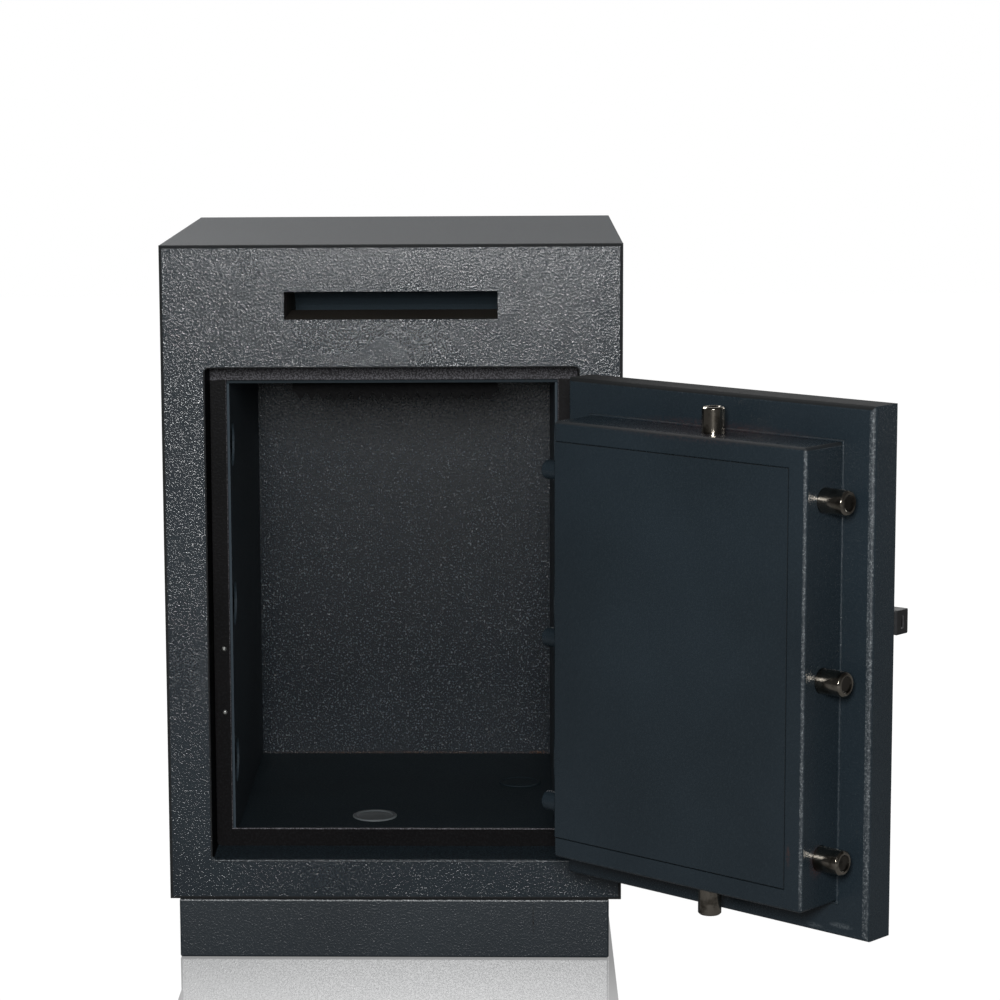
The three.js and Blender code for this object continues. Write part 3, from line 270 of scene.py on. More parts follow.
structuredPaint = paint("structured powder coat", structuredCoat)
rearPaint = paint("structured powder coat in the compartment", rearCoat)
smoothPaint = paint("fine textured powder coat", smoothCoat)
linerPaint = paint("fine textured powder coat on the liner", linerCoat)
blackPaint = paint("semi-gloss black enamel", blackCoat)
shellPaint = paint("structured powder coat on the shell", shellCoat)
plinthPaint = paint("structured powder coat on the plinth", plinthCoat)
mattPaint = paint("matt black enamel", mattCoat)
wallPaint = paint("fine textured powder coat on the side walls", wallCoat)
jambPaint = paint("matt black enamel over powder coat", jambCoat)
primerPaint = paint("grey primer in the chute", primerCoat)
trayPaint = paint("matt brown-black enamel", trayCoat)
print("paints made")


# Metals and plastics: a smear runs between two tones, and turning marks or grain break the reflection

# Chrome plate over turned steel: a dark, warm mirror, smeared by oil
chromeLook = {"bright": "#a8a196", "dull": "#69635a", "shade": "#191715", "turning": 0.5, "smearPitch": 16,
              "roughLow": 0.12, "roughHigh": 0.22}
# Zinc plate: pale, cloudy and half matt
zincLook = {"bright": "#a5a6a3", "dull": "#6d6e6b", "shade": "#3a3b3a", "turning": 0.8, "smearPitch": 14,
            "roughLow": 0.28, "roughHigh": 0.5}
# Sintered bronze: brown and dull, with a soft gleam
bronzeLook = {"bright": "#93713f", "dull": "#5d4526", "shade": "#2c2113", "turning": 0.6, "smearPitch": 8,
              "roughLow": 0.3, "roughHigh": 0.5}
# Moulded polyethylene: grey with a waxy sheen, paler at its rim with wear and a painted highlight
capLook = {"dark": "#2c3235", "light": "#3b4144", "paleTone": "#5c6265", "grainPitch": 1.1, "rough": 0.55}
# Moulded nylon: black, with a fine grain and a soft gloss
gripLook = {"dark": "#121314", "light": "#1d1e20", "paleTone": "#3b3c3e", "grainPitch": 0.9, "rough": 0.42}

# What the metals share, and what the plastics share; relief and pitch are millimetres
plate = {"dullTo": 0.38, "brightFrom": 0.52, "roughTo": 0.35, "smoothFrom": 0.65, "bump": 0.3, "relief": 0.02}
moulding = {"ior": 1.5, "smearPitch": 22, "darkTo": 0.35, "lightFrom": 0.65, "roughSpan": 0.1, "bump": 0.5,
            "relief": 0.05}


def metal(name, look):
    material, tree, shader = newMaterial(name, {"Metallic": 1})
    place = addNode(tree, "ShaderNodeTexCoord").outputs["Object"]
    smear = addNode(tree, "ShaderNodeTexNoise",
                    {"Scale": scaleOf(look["smearPitch"]), "Detail": 4, "Roughness": 0.65}, {"Vector": place})
    lines = addNode(tree, "ShaderNodeTexNoise", {"Scale": scaleOf(look["turning"]), "Detail": 1},
                    {"Vector": place})
    colour = addNode(tree, "ShaderNodeValToRGB",
                     {"stops": [(plate["dullTo"], look["dull"]), (plate["brightFrom"], look["bright"])]},
                     {"Fac": smear.outputs[0]})
    edges = addNode(tree, "ShaderNodeAttribute", {"attribute_name": "rounding"})
    # painted shade: faces toned as in shade, such as the bolts' dish, turn towards the shade colour
    depth = addNode(tree, "ShaderNodeMapRange", {"From Max": -1}, {"Value": edges.outputs["Fac"]})
    shaded = addNode(tree, "ShaderNodeMix", {"data_type": "RGBA", colourB: hexColour(look["shade"])},
                     {factor: depth.outputs[0], colourA: colour.outputs[0]})
    rough = addNode(tree, "ShaderNodeMapRange",
                    {"From Min": plate["roughTo"], "From Max": plate["smoothFrom"],
                     "To Min": look["roughHigh"], "To Max": look["roughLow"]},
                    {"Value": smear.outputs[0]})
    bump = addNode(tree, "ShaderNodeBump", {"Strength": plate["bump"], "Distance": plate["relief"] * mm},
                   {"Height": lines.outputs[0]})
    tree.links.new(shaded.outputs[colourOut], shader.inputs["Base Color"])
    tree.links.new(rough.outputs[0], shader.inputs["Roughness"])
    tree.links.new(bump.outputs[0], shader.inputs["Normal"])
    return material


def plastic(name, look):
    material, tree, shader = newMaterial(name, {"IOR": moulding["ior"]})
    place = addNode(tree, "ShaderNodeTexCoord").outputs["Object"]
    grain = addNode(tree, "ShaderNodeTexNoise", {"Scale": scaleOf(look["grainPitch"]), "Detail": 2},
                    {"Vector": place})
    smear = addNode(tree, "ShaderNodeTexNoise", {"Scale": scaleOf(moulding["smearPitch"]), "Detail": 4},
                    {"Vector": place})
    ground = addNode(tree, "ShaderNodeValToRGB",
                     {"stops": [(moulding["darkTo"], look["dark"]), (moulding["lightFrom"], look["light"])]},
                     {"Fac": smear.outputs[0]})
    edges = addNode(tree, "ShaderNodeAttribute", {"attribute_name": "rounding"})
    # edges turn pale: wear, and a painted highlight on the plug's rim
    paleTone = addNode(tree, "ShaderNodeMix", {"data_type": "RGBA", colourB: hexColour(look["paleTone"])},
                   {factor: edges.outputs["Fac"], colourA: ground.outputs[0]})
    rough = addNode(tree, "ShaderNodeMapRange",
                    {"To Min": look["rough"] + moulding["roughSpan"],
                     "To Max": look["rough"] - moulding["roughSpan"]},
                    {"Value": smear.outputs[0]})
    bump = addNode(tree, "ShaderNodeBump",
                   {"Strength": moulding["bump"], "Distance": moulding["relief"] * mm},
                   {"Height": grain.outputs[0]})
    tree.links.new(paleTone.outputs[colourOut], shader.inputs["Base Color"])
    tree.links.new(rough.outputs[0], shader.inputs["Roughness"])
    tree.links.new(bump.outputs[0], shader.inputs["Normal"])
    return material


chrome = metal("chromed turned steel", chromeLook)
zinc = metal("zinc plated steel", zincLook)
bronze = metal("sintered bronze", bronzeLook)
capPlastic = plastic("moulded grey polyethylene", capLook)
gripPlastic = plastic("moulded black nylon", gripLook)
print("metals and plastics made")


# Measuring the frame's nodes and shaping with bmesh

planeGap = 0.02 * mm  # points this near lie in one plane
weldGap = 0.001 * mm  # points this near are one
foldFrom = 0.5  # radians; an edge folded less isn't rounded
flatFrom = 0.999  # a face is flat where its normal is this much along an axis
upFrom = 0.2  # a rounding faces up where its normal's height is over this
sharpFrom = math.radians(35)  # an edge sharper than this isn't shaded smooth
turnSteps = 72  # sides of a turned form


def cornersOf(name, matrix=plain, keep=None):
    inverse = matrix.inverted()
    places = [inverse @ vertex.co for vertex in nodes[name].data.vertices]
    places = [place for place in places if keep is None or keep(place)]
    low = Vector(min(place[i] for place in places) for i in range(3))
    high = Vector(max(place[i] for place in places) for i in range(3))
    return low, high


def addBlock(bm, low, high):
    made = bmesh.ops.create_cube(bm, size=1)["verts"]
    bmesh.ops.scale(bm, vec=high - low, verts=made)
    bmesh.ops.translate(bm, vec=(low + high) / 2, verts=made)


def bevelWhere(bm, test, offset, segments):
    edges = [edge for edge in bm.edges
             if len(edge.link_faces) == 2 and edge.calc_face_angle() > foldFrom and test(edge)]
    bmesh.ops.bevel(bm, geom=edges, offset=offset, offset_type="OFFSET", segments=segments, profile=0.5,
                    affect="EDGES", material=-1, clamp_overlap=True)


def liesAt(edge, axis, value):
    return all(abs(vertex.co[axis] - value) < planeGap for vertex in edge.verts)


def runsAlong(edge, axis):
    span = edge.verts[1].co - edge.verts[0].co
    return abs(span[axis]) > flatFrom * span.length


def isWithin(place, low, high, margin):
    # seen along Y, in the box from low to high and a margin round it
    return all(low[i] - margin < place[i] < high[i] + margin for i in (0, 2))


def plateWithOpenings(low, high, openings):
    # a plate in X and Z from low.y to high.y; the lines of the openings are cut right across it first
    bm = bmesh.new()
    face = bmesh.ops.create_grid(bm, x_segments=1, y_segments=1, size=0.5)["verts"]
    bmesh.ops.scale(bm, vec=(high.x - low.x, high.z - low.z, 1), verts=face)
    bmesh.ops.rotate(bm, matrix=Matrix.Rotation(math.pi / 2, 3, "X"), verts=face)
    bmesh.ops.translate(bm, vec=((low.x + high.x) / 2, low.y, (low.z + high.z) / 2), verts=face)
    for opening in openings:
        for corner in opening:
            for axis in (0, 2):
                normal = Vector(1 if i == axis else 0 for i in range(3))
                bmesh.ops.bisect_plane(bm, geom=bm.verts[:] + bm.edges[:] + bm.faces[:], plane_co=corner,
                                       plane_no=normal, dist=weldGap)

    def isOpen(place):
        return any(a.x < place.x < b.x and a.z < place.z < b.z for a, b in openings)

    gone = [face for face in bm.faces if isOpen(face.calc_center_median())]
    bmesh.ops.delete(bm, geom=gone, context="FACES")
    made = bmesh.ops.extrude_face_region(bm, geom=bm.faces[:])
    bmesh.ops.translate(bm, vec=(0, high.y - low.y, 0),
                        verts=[item for item in made["geom"] if isinstance(item, bmesh.types.BMVert)])
    bmesh.ops.recalc_face_normals(bm, faces=bm.faces)
    return bm


def turned(points):
    # points are (radius, height) in millimetres about Z
    bm = bmesh.new()
    verts = [bm.verts.new((radius * mm, 0, height * mm)) for radius, height in points]
    edges = [bm.edges.new(pair) for pair in zip(verts, verts[1:])]
    bmesh.ops.spin(bm, geom=verts + edges, cent=(0, 0, 0), axis=(0, 0, 1), angle=2 * math.pi,
                   steps=turnSteps, use_merge=True)
    bmesh.ops.remove_doubles(bm, verts=bm.verts, dist=weldGap)
    bmesh.ops.recalc_face_normals(bm, faces=bm.faces)
    return bm


def carved(bm, tool):
    # takes the tool out of the form; both are used up
    pair = []
    for form in (bm, tool):
        mesh = bpy.data.meshes.new("form")
        form.to_mesh(mesh)
        form.free()
        pair.append(bpy.data.objects.new("form", mesh))
        bpy.context.scene.collection.objects.link(pair[-1])
    base, other = pair
    modifier = base.modifiers.new("boolean", "BOOLEAN")
    modifier.operation = "DIFFERENCE"
    modifier.object = other
    modifier.solver = "EXACT"
    evaluated = base.evaluated_get(bpy.context.evaluated_depsgraph_get())
    result = bmesh.new()
    result.from_mesh(evaluated.to_mesh())
    for item in pair:
        bpy.data.meshes.remove(item.data)
    return result


# The rounding attribute is 1 where an edge turns pale, as wear and as painted sheen,
# -1 where it gets painted shade and 0 on a flat

def paleEdgeTone(face, isFlat):
    # every rounded edge turns pale: wear, and painted sheen on the front plug's rim
    return 0 if isFlat else 1


def shadeTone(face, isFlat):
    # painted shade: every rounded edge is darkened
    return 0 if isFlat else -1


def evenTone(face, isFlat):
    return 0


def makePiece(bm, name, body, slot, material, replaced, matrix=plain, tone=paleEdgeTone):
    bmesh.ops.remove_doubles(bm, verts=bm.verts, dist=weldGap)
    bmesh.ops.recalc_face_normals(bm, faces=bm.faces)
    rounding = bm.faces.layers.float.new("rounding")
    for face in bm.faces:
        face.smooth = True
        isFlat = max(abs(value) for value in face.normal) > flatFrom
        face[rounding] = tone(face, isFlat)
    bmesh.ops.transform(bm, matrix=matrix, verts=bm.verts)
    mesh = bpy.data.meshes.new(name)
    bm.to_mesh(mesh)
    bm.free()
    mesh.set_sharp_from_angle(angle=sharpFrom)
    mesh.materials.append(material)
    piece = bpy.data.objects.new(name, mesh)
    bpy.context.scene.collection.objects.link(piece)
    modifier = piece.modifiers.new("weighted normals", "WEIGHTED_NORMAL")
    modifier.keep_sharp = True
    if replaced:
        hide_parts(*replaced)
    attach(piece, body)


# Cabinet shell

jambSkin = 3 * mm
jambLow, jambHigh = cornersOf("door_jamb")
openingLow = jambLow + Vector((jambSkin, 0, jambSkin))
openingHigh = jambHigh - Vector((jambSkin, 0, jambSkin))

fasciaSizes = {"outerRound": 3.4, "openingRound": 4, "slotRound": 0.5, "openingCorner": 4.5,
               "slotCorner": 0.8, "steps": 5, "rim": 9, "band": 10, "faceGap": 0.1}


def makeFascia():
    sizes = fasciaSizes
    low, high = cornersOf("front_fascia")
    band = sizes["band"] * mm

    def isOfSlot(place):
        # the points of the slot's back edge, well inside the header
        inBand = openingHigh.z + band < place.z < high.z - band and abs(place.x) < high.x - band
        return inBand and place.y > high.y - sizes["faceGap"] * mm

    opening = (openingLow, openingHigh)
    slot = cornersOf("front_fascia", keep=isOfSlot)
    bm = plateWithOpenings(low, high, [opening, slot])

    def isCorner(edge, box):
        place = edge.verts[0].co
        return runsAlong(edge, 1) and all(min(abs(place[i] - box[0][i]), abs(place[i] - box[1][i])) < planeGap
                                          for i in (0, 2))

    def isFront(edge, box, margin):
        return liesAt(edge, 1, low.y) and all(isWithin(vertex.co, *box, margin) for vertex in edge.verts)

    bevelWhere(bm, lambda e: isCorner(e, opening), sizes["openingCorner"] * mm, sizes["steps"])
    bevelWhere(bm, lambda e: isCorner(e, slot), sizes["slotCorner"] * mm, sizes["steps"])
    bevelWhere(bm, lambda e: isFront(e, opening, mm), sizes["openingRound"] * mm, sizes["steps"])
    bevelWhere(bm, lambda e: isFront(e, slot, mm), sizes["slotRound"] * mm, sizes["steps"])

    def isOuter(edge):
        rim = sizes["rim"] * mm
        return liesAt(edge, 1, low.y) and not any(isFront(edge, box, rim) for box in (opening, slot))

    bevelWhere(bm, isOuter, sizes["outerRound"] * mm, sizes["steps"])

    def tone(face, isFlat):
        # painted highlight on the sill's edge, which faces up to the light, and painted shade on the other
        # rounded edges
        if isFlat:
            return 0
        awayFromSill = abs(face.calc_center_median().z - openingLow.z)
        return 1 if face.normal.z > upFrom and awayFromSill < sizes["openingRound"] * mm else -1

    makePiece(bm, "fascia", "cabinet", "structured_paint", structuredPaint, ["front_fascia"], tone=tone)


shellSizes = {"skin": 3, "fold": 1.2, "steps": 4}


def makeShell():
    # a folded tube, open at the front and the back
    low, high = cornersOf("body_wrap")
    bm = bmesh.new()
    addBlock(bm, low, high)
    bevelWhere(bm, lambda e: runsAlong(e, 1), shellSizes["fold"] * mm, shellSizes["steps"])
    ends = [face for face in bm.faces if abs(face.normal.y) > flatFrom]
    bmesh.ops.delete(bm, geom=ends, context="FACES_ONLY")
    bmesh.ops.solidify(bm, geom=bm.faces[:], thickness=shellSizes["skin"] * mm)
    # painted shade darkens all its rounded folds
    makePiece(bm, "shell", "cabinet", "structured_paint", shellPaint, ["body_wrap"], tone=shadeTone)


# The offset moves it along X to where the photograph shows it
plinthSizes = {"skin": 3, "offset": -1.6, "round": 2.4, "steps": 6, "paleFrom": 0.1, "shadeFrom": 0.7}


def makePlinth():
    # a tray, open at the top; its upper edge gets a painted highlight below the body
    low, high = cornersOf("plinth")
    bm = bmesh.new()
    addBlock(bm, low, high)
    bevelWhere(bm, lambda e: True, plinthSizes["round"] * mm, plinthSizes["steps"])
    top = [face for face in bm.faces if face.normal.z > flatFrom]
    bmesh.ops.inset_region(bm, faces=top, thickness=(plinthSizes["skin"] - plinthSizes["round"]) * mm,
                           use_even_offset=True)
    bmesh.ops.translate(bm, vec=(0, 0, low.z - high.z + plinthSizes["skin"] * mm),
                        verts=list({vertex for face in top for vertex in face.verts}))
    bmesh.ops.translate(bm, vec=(plinthSizes["offset"] * mm, 0, 0), verts=bm.verts)

    def tone(face, isFlat):
        # painted highlight on the upper edge, and painted shade where it turns into the joint below the body
        upright = face.normal.z
        if isFlat or upright < plinthSizes["paleFrom"] or face.calc_center_median().z < high.z / 2:
            return 0
        return 1 if upright < plinthSizes["shadeFrom"] else -1

    makePiece(bm, "plinth_tray", "cabinet", "structured_paint", plinthPaint, ["plinth"], tone=tone)


ledgeSizes = {"edge": 1, "steps": 3, "paintedStripSheen": 0.6, "paintedEdgeSheen": 0.45, "seat": 3}


def makeLedge():
    # the black frame that the shut door stops in front of; its thin inner edge catches the light and is
    # painted pale too
    low, high = cornersOf("ledge_frame")
    screws = [cornersOf(name) for name in ("ledge_screw_lower", "ledge_screw_upper")]
    seat = ledgeSizes["seat"] * mm

    def isOfHole(place):
        # the points of the frame's inner edge: neither its outer ones nor those round the screws
        atScrew = any(isWithin(place, *screw, seat) for screw in screws)
        return isWithin(place, low, high, -seat) and not atScrew

    hole = cornersOf("ledge_frame", keep=isOfHole)
    bm = plateWithOpenings(low, high, [hole])
    bevelWhere(bm, lambda e: liesAt(e, 1, low.y) and all(isWithin(v.co, *hole, mm) for v in e.verts),
               ledgeSizes["edge"] * mm, ledgeSizes["steps"])

    def tone(face, isFlat):
        # painted sheen: the strip under the header is made pale, as are edges that face up, the other edges a
        # little
        if isFlat:
            return ledgeSizes["paintedStripSheen"] if face.calc_center_median().z > hole[1].z else 0
        return 1 if face.normal.z > upFrom else ledgeSizes["paintedEdgeSheen"]

    makePiece(bm, "ledge", "cabinet", "black_paint", blackPaint, ["ledge_frame"], tone=tone)


makeFascia()
makeShell()
makePlinth()
makeLedge()
print("cabinet shell made")


# Door: slab, bolt box with its cover, fixed dogs

# How its edges are toned, and the limits of the normals on the roundings beside the free edge
# free is wear with a painted highlight, upper and slabTop are painted shade, other is slight wear
edgeTones = {"free": 0.8, "upper": -0.7, "other": 0.1, "slabTop": -1,
             "across": -0.1, "inwards": 0.5, "up": 0.3}


def doorTone(face, isFlat):
    # wear with a painted highlight beside the free edge, painted shade on edges that face up, slight wear
    # elsewhere
    across, inwards, up = face.normal
    if isFlat:
        return 0
    if across < edgeTones["across"] and inwards > edgeTones["inwards"] and abs(up) < edgeTones["up"]:
        return edgeTones["free"]
    return edgeTones["upper"] if up > upFrom else edgeTones["other"]


# The lift raises its lower edge to where the photograph shows it
slabSizes = {"innerRound": 5, "innerSteps": 6, "outerRound": 1, "outerSteps": 3, "scuffAndSheen": 1, "lift": 3.5}


def makeSlab():
    low, high = cornersOf("door_slab", doorMatrix)
    low.z += slabSizes["lift"] * mm
    bm = bmesh.new()
    addBlock(bm, low, high)
    bevelWhere(bm, lambda e: liesAt(e, 1, high.y), slabSizes["innerRound"] * mm, slabSizes["innerSteps"])
    bevelWhere(bm, lambda e: liesAt(e, 1, low.y), slabSizes["outerRound"] * mm, slabSizes["outerSteps"])
    inner = [face for face in bm.faces if face.normal.y > flatFrom]
    bmesh.ops.inset_region(bm, faces=inner, thickness=slabSizes["scuffAndSheen"] * mm, use_even_offset=True)
    scuffAndSheenTo = low.x + (slabSizes["innerRound"] + slabSizes["scuffAndSheen"]) * mm

    def tone(face, isFlat):
        # the strip beside the free edge is worn pale with a painted highlight too, and the top gets painted
        # shade
        if face.normal.z > upFrom:
            return edgeTones["slabTop"]
        if face.normal.y > flatFrom and face.calc_center_median().x < scuffAndSheenTo:
            return edgeTones["free"]
        return doorTone(face, isFlat)

    makePiece(bm, "slab", "door", "smooth_paint", smoothPaint, ["door_slab"], doorMatrix, tone=tone)


heights = ("lower", "middle", "upper")
boxSizes = {"rim": 3.4, "corner": 4, "steps": 6, "wall": 3, "flange": 20.3, "recess": 3, "lip": 8,
            "clearance": 0.4, "drill": 24, "drillSteps": 64}
dogSizes = {"radius": 10.2, "spigot": 6, "spigotLength": 8, "dome": 4.6, "domeSteps": 8, "seat": 0.3,
            "edge": 0.6}


def makeBoltBox():
    low, high = cornersOf("bolt_box", doorMatrix)
    bm = bmesh.new()
    addBlock(bm, low, high)
    bevelWhere(bm, lambda e: runsAlong(e, 1), boxSizes["corner"] * mm, boxSizes["steps"])
    bevelWhere(bm, lambda e: liesAt(e, 1, high.y), boxSizes["rim"] * mm, boxSizes["steps"])
    wall, flange, lip = boxSizes["wall"] * mm, boxSizes["flange"] * mm, boxSizes["lip"] * mm
    seat = high.y - boxSizes["recess"] * mm
    # the inside, the seat of the cover (open towards the hinges) and the way in under the cover
    for inset, right, bottom, top in ((wall, high.x - wall, low.y - mm, seat - wall),
                                      (flange, high.x + mm, seat, high.y + mm),
                                      (flange + lip, high.x - flange - lip, seat - 2 * wall, high.y)):
        hollow = bmesh.new()
        addBlock(hollow, Vector((low.x + inset, bottom, low.z + inset)), Vector((right, top, high.z - inset)))
        bm = carved(bm, hollow)
    for height in heights:
        bm = carved(bm, boltHole("side_bolt_" + height, 0, low.x))
    for height in heights:
        bm = carved(bm, boltHole("hinge_dog_" + height, 0, high.x))
    bm = carved(bm, boltHole("top_bolt", 2, high.z))
    bm = carved(bm, boltHole("bottom_bolt", 2, low.z))
    makePiece(bm, "bolt_housing", "door", "smooth_paint", smoothPaint, ["bolt_box"], doorMatrix,
              tone=doorTone)


def boltHole(name, axis, wallPlace):
    # a drill along X or Z through the wall at wallPlace, for a bolt or for a dog's spigot
    low, high = cornersOf(name, doorMatrix)
    across = 2 - axis
    radius = (high[across] - low[across]) / 2 + boxSizes["clearance"] * mm
    if "dog" in name:
        radius = dogSizes["spigot"] * mm + boxSizes["clearance"] * mm
    bm = bmesh.new()
    made = bmesh.ops.create_cone(bm, cap_ends=True, segments=boxSizes["drillSteps"], radius1=radius,
                                 radius2=radius, depth=boxSizes["drill"] * mm)["verts"]
    centre = (low + high) / 2
    centre[axis] = wallPlace
    turn = Matrix.Rotation(math.pi / 2, 3, "Y") if axis == 0 else Matrix.Identity(3)
    bmesh.ops.rotate(bm, matrix=turn, verts=made)
    bmesh.ops.translate(bm, vec=centre, verts=made)
    return bm


coverSizes = {"edge": 0.8, "hingeEdge": 2, "steps": 3, "gap": 0.6, "litFrom": 0.1}


def makeCover():
    # a plate let in on three sides, which runs out over the wall on the hinge side
    low, high = cornersOf("cover_panel", doorMatrix)
    _, boxHigh = cornersOf("bolt_box", doorMatrix)
    gap = coverSizes["gap"] * mm
    low += Vector((gap, 0, gap))
    high = Vector((boxHigh.x, high.y, high.z - gap))
    bm = bmesh.new()
    addBlock(bm, low, high)
    bevelWhere(bm, lambda e: liesAt(e, 1, high.y) and liesAt(e, 0, high.x), coverSizes["hingeEdge"] * mm,
               coverSizes["steps"])
    bevelWhere(bm, lambda e: liesAt(e, 1, high.y) and (runsAlong(e, 0) or liesAt(e, 0, low.x)),
               coverSizes["edge"] * mm, coverSizes["steps"])

    def tone(face, isFlat):
        # painted shade along its joint on the three sides where it is let in
        atHinges = face.normal.x > coverSizes["litFrom"] and abs(face.normal.z) < coverSizes["litFrom"]
        return 0 if isFlat or atHinges else -1

    makePiece(bm, "cover", "door", "smooth_paint", smoothPaint, ["cover_panel"], doorMatrix, tone=tone)


beadSizes = {"width": 2.2, "height": 1.6, "lift": 0.05, "fit": 0.1, "round": 1.44, "steps": 4,
             "upperTone": -0.3, "otherTone": 0.2}


def makeBead():
    # bead of weld and paint where the housing stands on the slab
    low, high = cornersOf("bolt_box", doorMatrix)
    _, slabHigh = cornersOf("door_slab", doorMatrix)
    width = beadSizes["width"] * mm
    start = Vector((low.x - width, slabHigh.y + beadSizes["lift"] * mm, low.z - width))
    end = Vector((high.x + width, slabHigh.y + beadSizes["height"] * mm, high.z + width))
    fit = Vector((1, 0, 1)) * beadSizes["fit"] * mm
    bm = plateWithOpenings(start, end, [(low - fit, high + fit)])
    bevelWhere(bm, lambda e: liesAt(e, 1, end.y) and not all(isWithin(v.co, low, high, mm) for v in e.verts),
               beadSizes["round"] * mm, beadSizes["steps"])

    def tone(face, isFlat):
        # painted shade on its upper side, slight wear elsewhere
        if face.normal.z > upFrom:
            return beadSizes["upperTone"]
        return 0 if isFlat else beadSizes["otherTone"]

    makePiece(bm, "housing_bead", "door", "smooth_paint", smoothPaint, [], doorMatrix, tone=tone)


def makeDog(name):
    # a fixed stud with a domed end, on a spigot in the housing's wall
    low, high = cornersOf(name, doorMatrix)
    radius, spigot, spigotLength, dome, seat, edge = (
        dogSizes[key] for key in ("radius", "spigot", "spigotLength", "dome", "seat", "edge"))
    length = (high.x - low.x) / mm - spigotLength
    angles = [math.pi / 2 * i / dogSizes["domeSteps"] for i in range(dogSizes["domeSteps"])]
    curve = [(radius * math.cos(a), length - dome + dome * math.sin(a)) for a in angles]
    bm = turned([(0, -spigotLength), (spigot, -spigotLength), (spigot, seat), (radius - edge, seat),
                 (radius, seat + edge), *curve, (0, length)])
    centre = (low + high) / 2
    foot = Vector((low.x + spigotLength * mm, centre.y, centre.z))
    place = Matrix.Translation(foot) @ Matrix.Rotation(math.pi / 2, 4, "Y")
    makePiece(bm, name + "_turned", "door", "smooth_paint", smoothPaint, [name], doorMatrix @ place,
              tone=evenTone)


makeSlab()
makeBoltBox()
makeCover()
makeBead()
for height in heights:
    makeDog("hinge_dog_" + height)
print("door made")


# Bolts: turned bars with a bright rim round a shallow dish

boltSizes = {"chamfer": 1.7, "rim": 2.4, "dish": 1.4, "foot": 0.5, "soft": 0.35, "softSteps": 2,
             "dishTone": -0.75}


def makeBolt(name, body, turn):
    low, high = cornersOf(name, doorMatrix)
    size = turn.inverted().to_3x3() @ (high - low)
    radius = abs(size.x) / 2 / mm
    length = abs(size.z) / mm
    chamfer, rim, dish, foot = (boltSizes[key] for key in ("chamfer", "rim", "dish", "foot"))
    inner = radius - chamfer - rim
    bm = turned([(0, 0), (radius - foot, 0), (radius, foot), (radius, length - chamfer),
                 (radius - chamfer, length), (inner, length), (inner - dish, length - dish),
                 (0, length - dish)])
    bevelWhere(bm, lambda e: max(v.co.z for v in e.verts) > (length - 2 * chamfer) * mm,
               boltSizes["soft"] * mm, boltSizes["softSteps"])
    start = (low + high) / 2 - turn.to_3x3() @ Vector((0, 0, length * mm / 2))

    def tone(face, isFlat):
        # painted shade in the dish
        centre = face.calc_center_median() / mm
        inDish = centre.z > length / 2 and centre.xy.length < inner
        return boltSizes["dishTone"] if inDish else 0

    makePiece(bm, name + "_bar", body, "chrome", chrome, [name],
              doorMatrix @ Matrix.Translation(start) @ turn, tone=tone)


towardsFreeEdge = Matrix.Rotation(-math.pi / 2, 4, "Y")
for height in heights:
    makeBolt("side_bolt_" + height, "side_bolts", towardsFreeEdge)
makeBolt("top_bolt", "top_bolt", Matrix.Identity(4))
makeBolt("bottom_bolt", "bottom_bolt", Matrix.Rotation(math.pi, 4, "X"))
print("bolts made")


# Small fittings: the nodes' own shapes, merged, with their sharp edges broken.
# Each has its body, slot, finish and the size of the broken edge, and a tone where its edges aren't worn

fittings = {
    "handle_lever": ("handle", "black_handle", gripPlastic, 0.8),
    "handle_rose": ("door", "black_handle", gripPlastic, 0.6),
    "keyhole_plate": ("door", "chrome", chrome, 0.25),
    "hinge_leaf_lower": ("cabinet", "structured_paint", structuredPaint, 0.8),
    "hinge_leaf_upper": ("cabinet", "structured_paint", structuredPaint, 0.8),
    "hinge_strap_lower": ("door", "structured_paint", structuredPaint, 0.8),
    "hinge_strap_upper": ("door", "structured_paint", structuredPaint, 0.8),
    "hinge_pin_lower": ("cabinet", "plated_steel", zinc, 0.3),
    "hinge_pin_upper": ("cabinet", "plated_steel", zinc, 0.3),
    "anchor_plug_front": ("cabinet", "grey_plastic", capPlastic, 0.25),
    # the rear plug takes the liner's dark paint, painted shade for the shade it lies in
    "anchor_plug_rear": ("cabinet", "grey_plastic", linerPaint, 0.25, evenTone),
    "anti_fish_comb": ("cabinet", "smooth_paint", mattPaint, 0.3),
    "ledge_screw_lower": ("cabinet", "plated_steel", zinc, 0.2),
    "ledge_screw_upper": ("cabinet", "plated_steel", zinc, 0.2),
}
fittingSizes = {"weld": 0.002, "flatWithin": 1, "steps": 2}


def makeFitting(name, body, slot, material, soft, tone=paleEdgeTone):
    matrix = doorMatrix if body in ("door", "handle") else plain
    bm = bmesh.new()
    bm.from_mesh(nodes[name].data)
    bmesh.ops.transform(bm, matrix=matrix.inverted(), verts=bm.verts)
    bmesh.ops.remove_doubles(bm, verts=bm.verts, dist=fittingSizes["weld"] * mm)
    bmesh.ops.dissolve_limit(bm, angle_limit=math.radians(fittingSizes["flatWithin"]), verts=bm.verts,
                             edges=bm.edges)
    bevelWhere(bm, lambda e: True, soft * mm, fittingSizes["steps"])
    makePiece(bm, name + "_fitting", body, slot, material, [name], matrix, tone=tone)


jambSizes = {"edge": 0.4, "floorFrom": 0.5}


def jambTone(face, isFlat):
    # the black enamel leaves the body's paint showing on the floor of the rebate
    onFloor = face.normal.z > jambSizes["floorFrom"] and face.calc_center_median().z < openingLow.z + mm
    return 1 if onFloor else 0


for name, fitting in fittings.items():
    makeFitting(name, *fitting)
makeFitting("door_jamb", "cabinet", "black_paint", jambPaint, jambSizes["edge"], jambTone)
print("fittings made")


# Finishes of the nodes that keep their shape

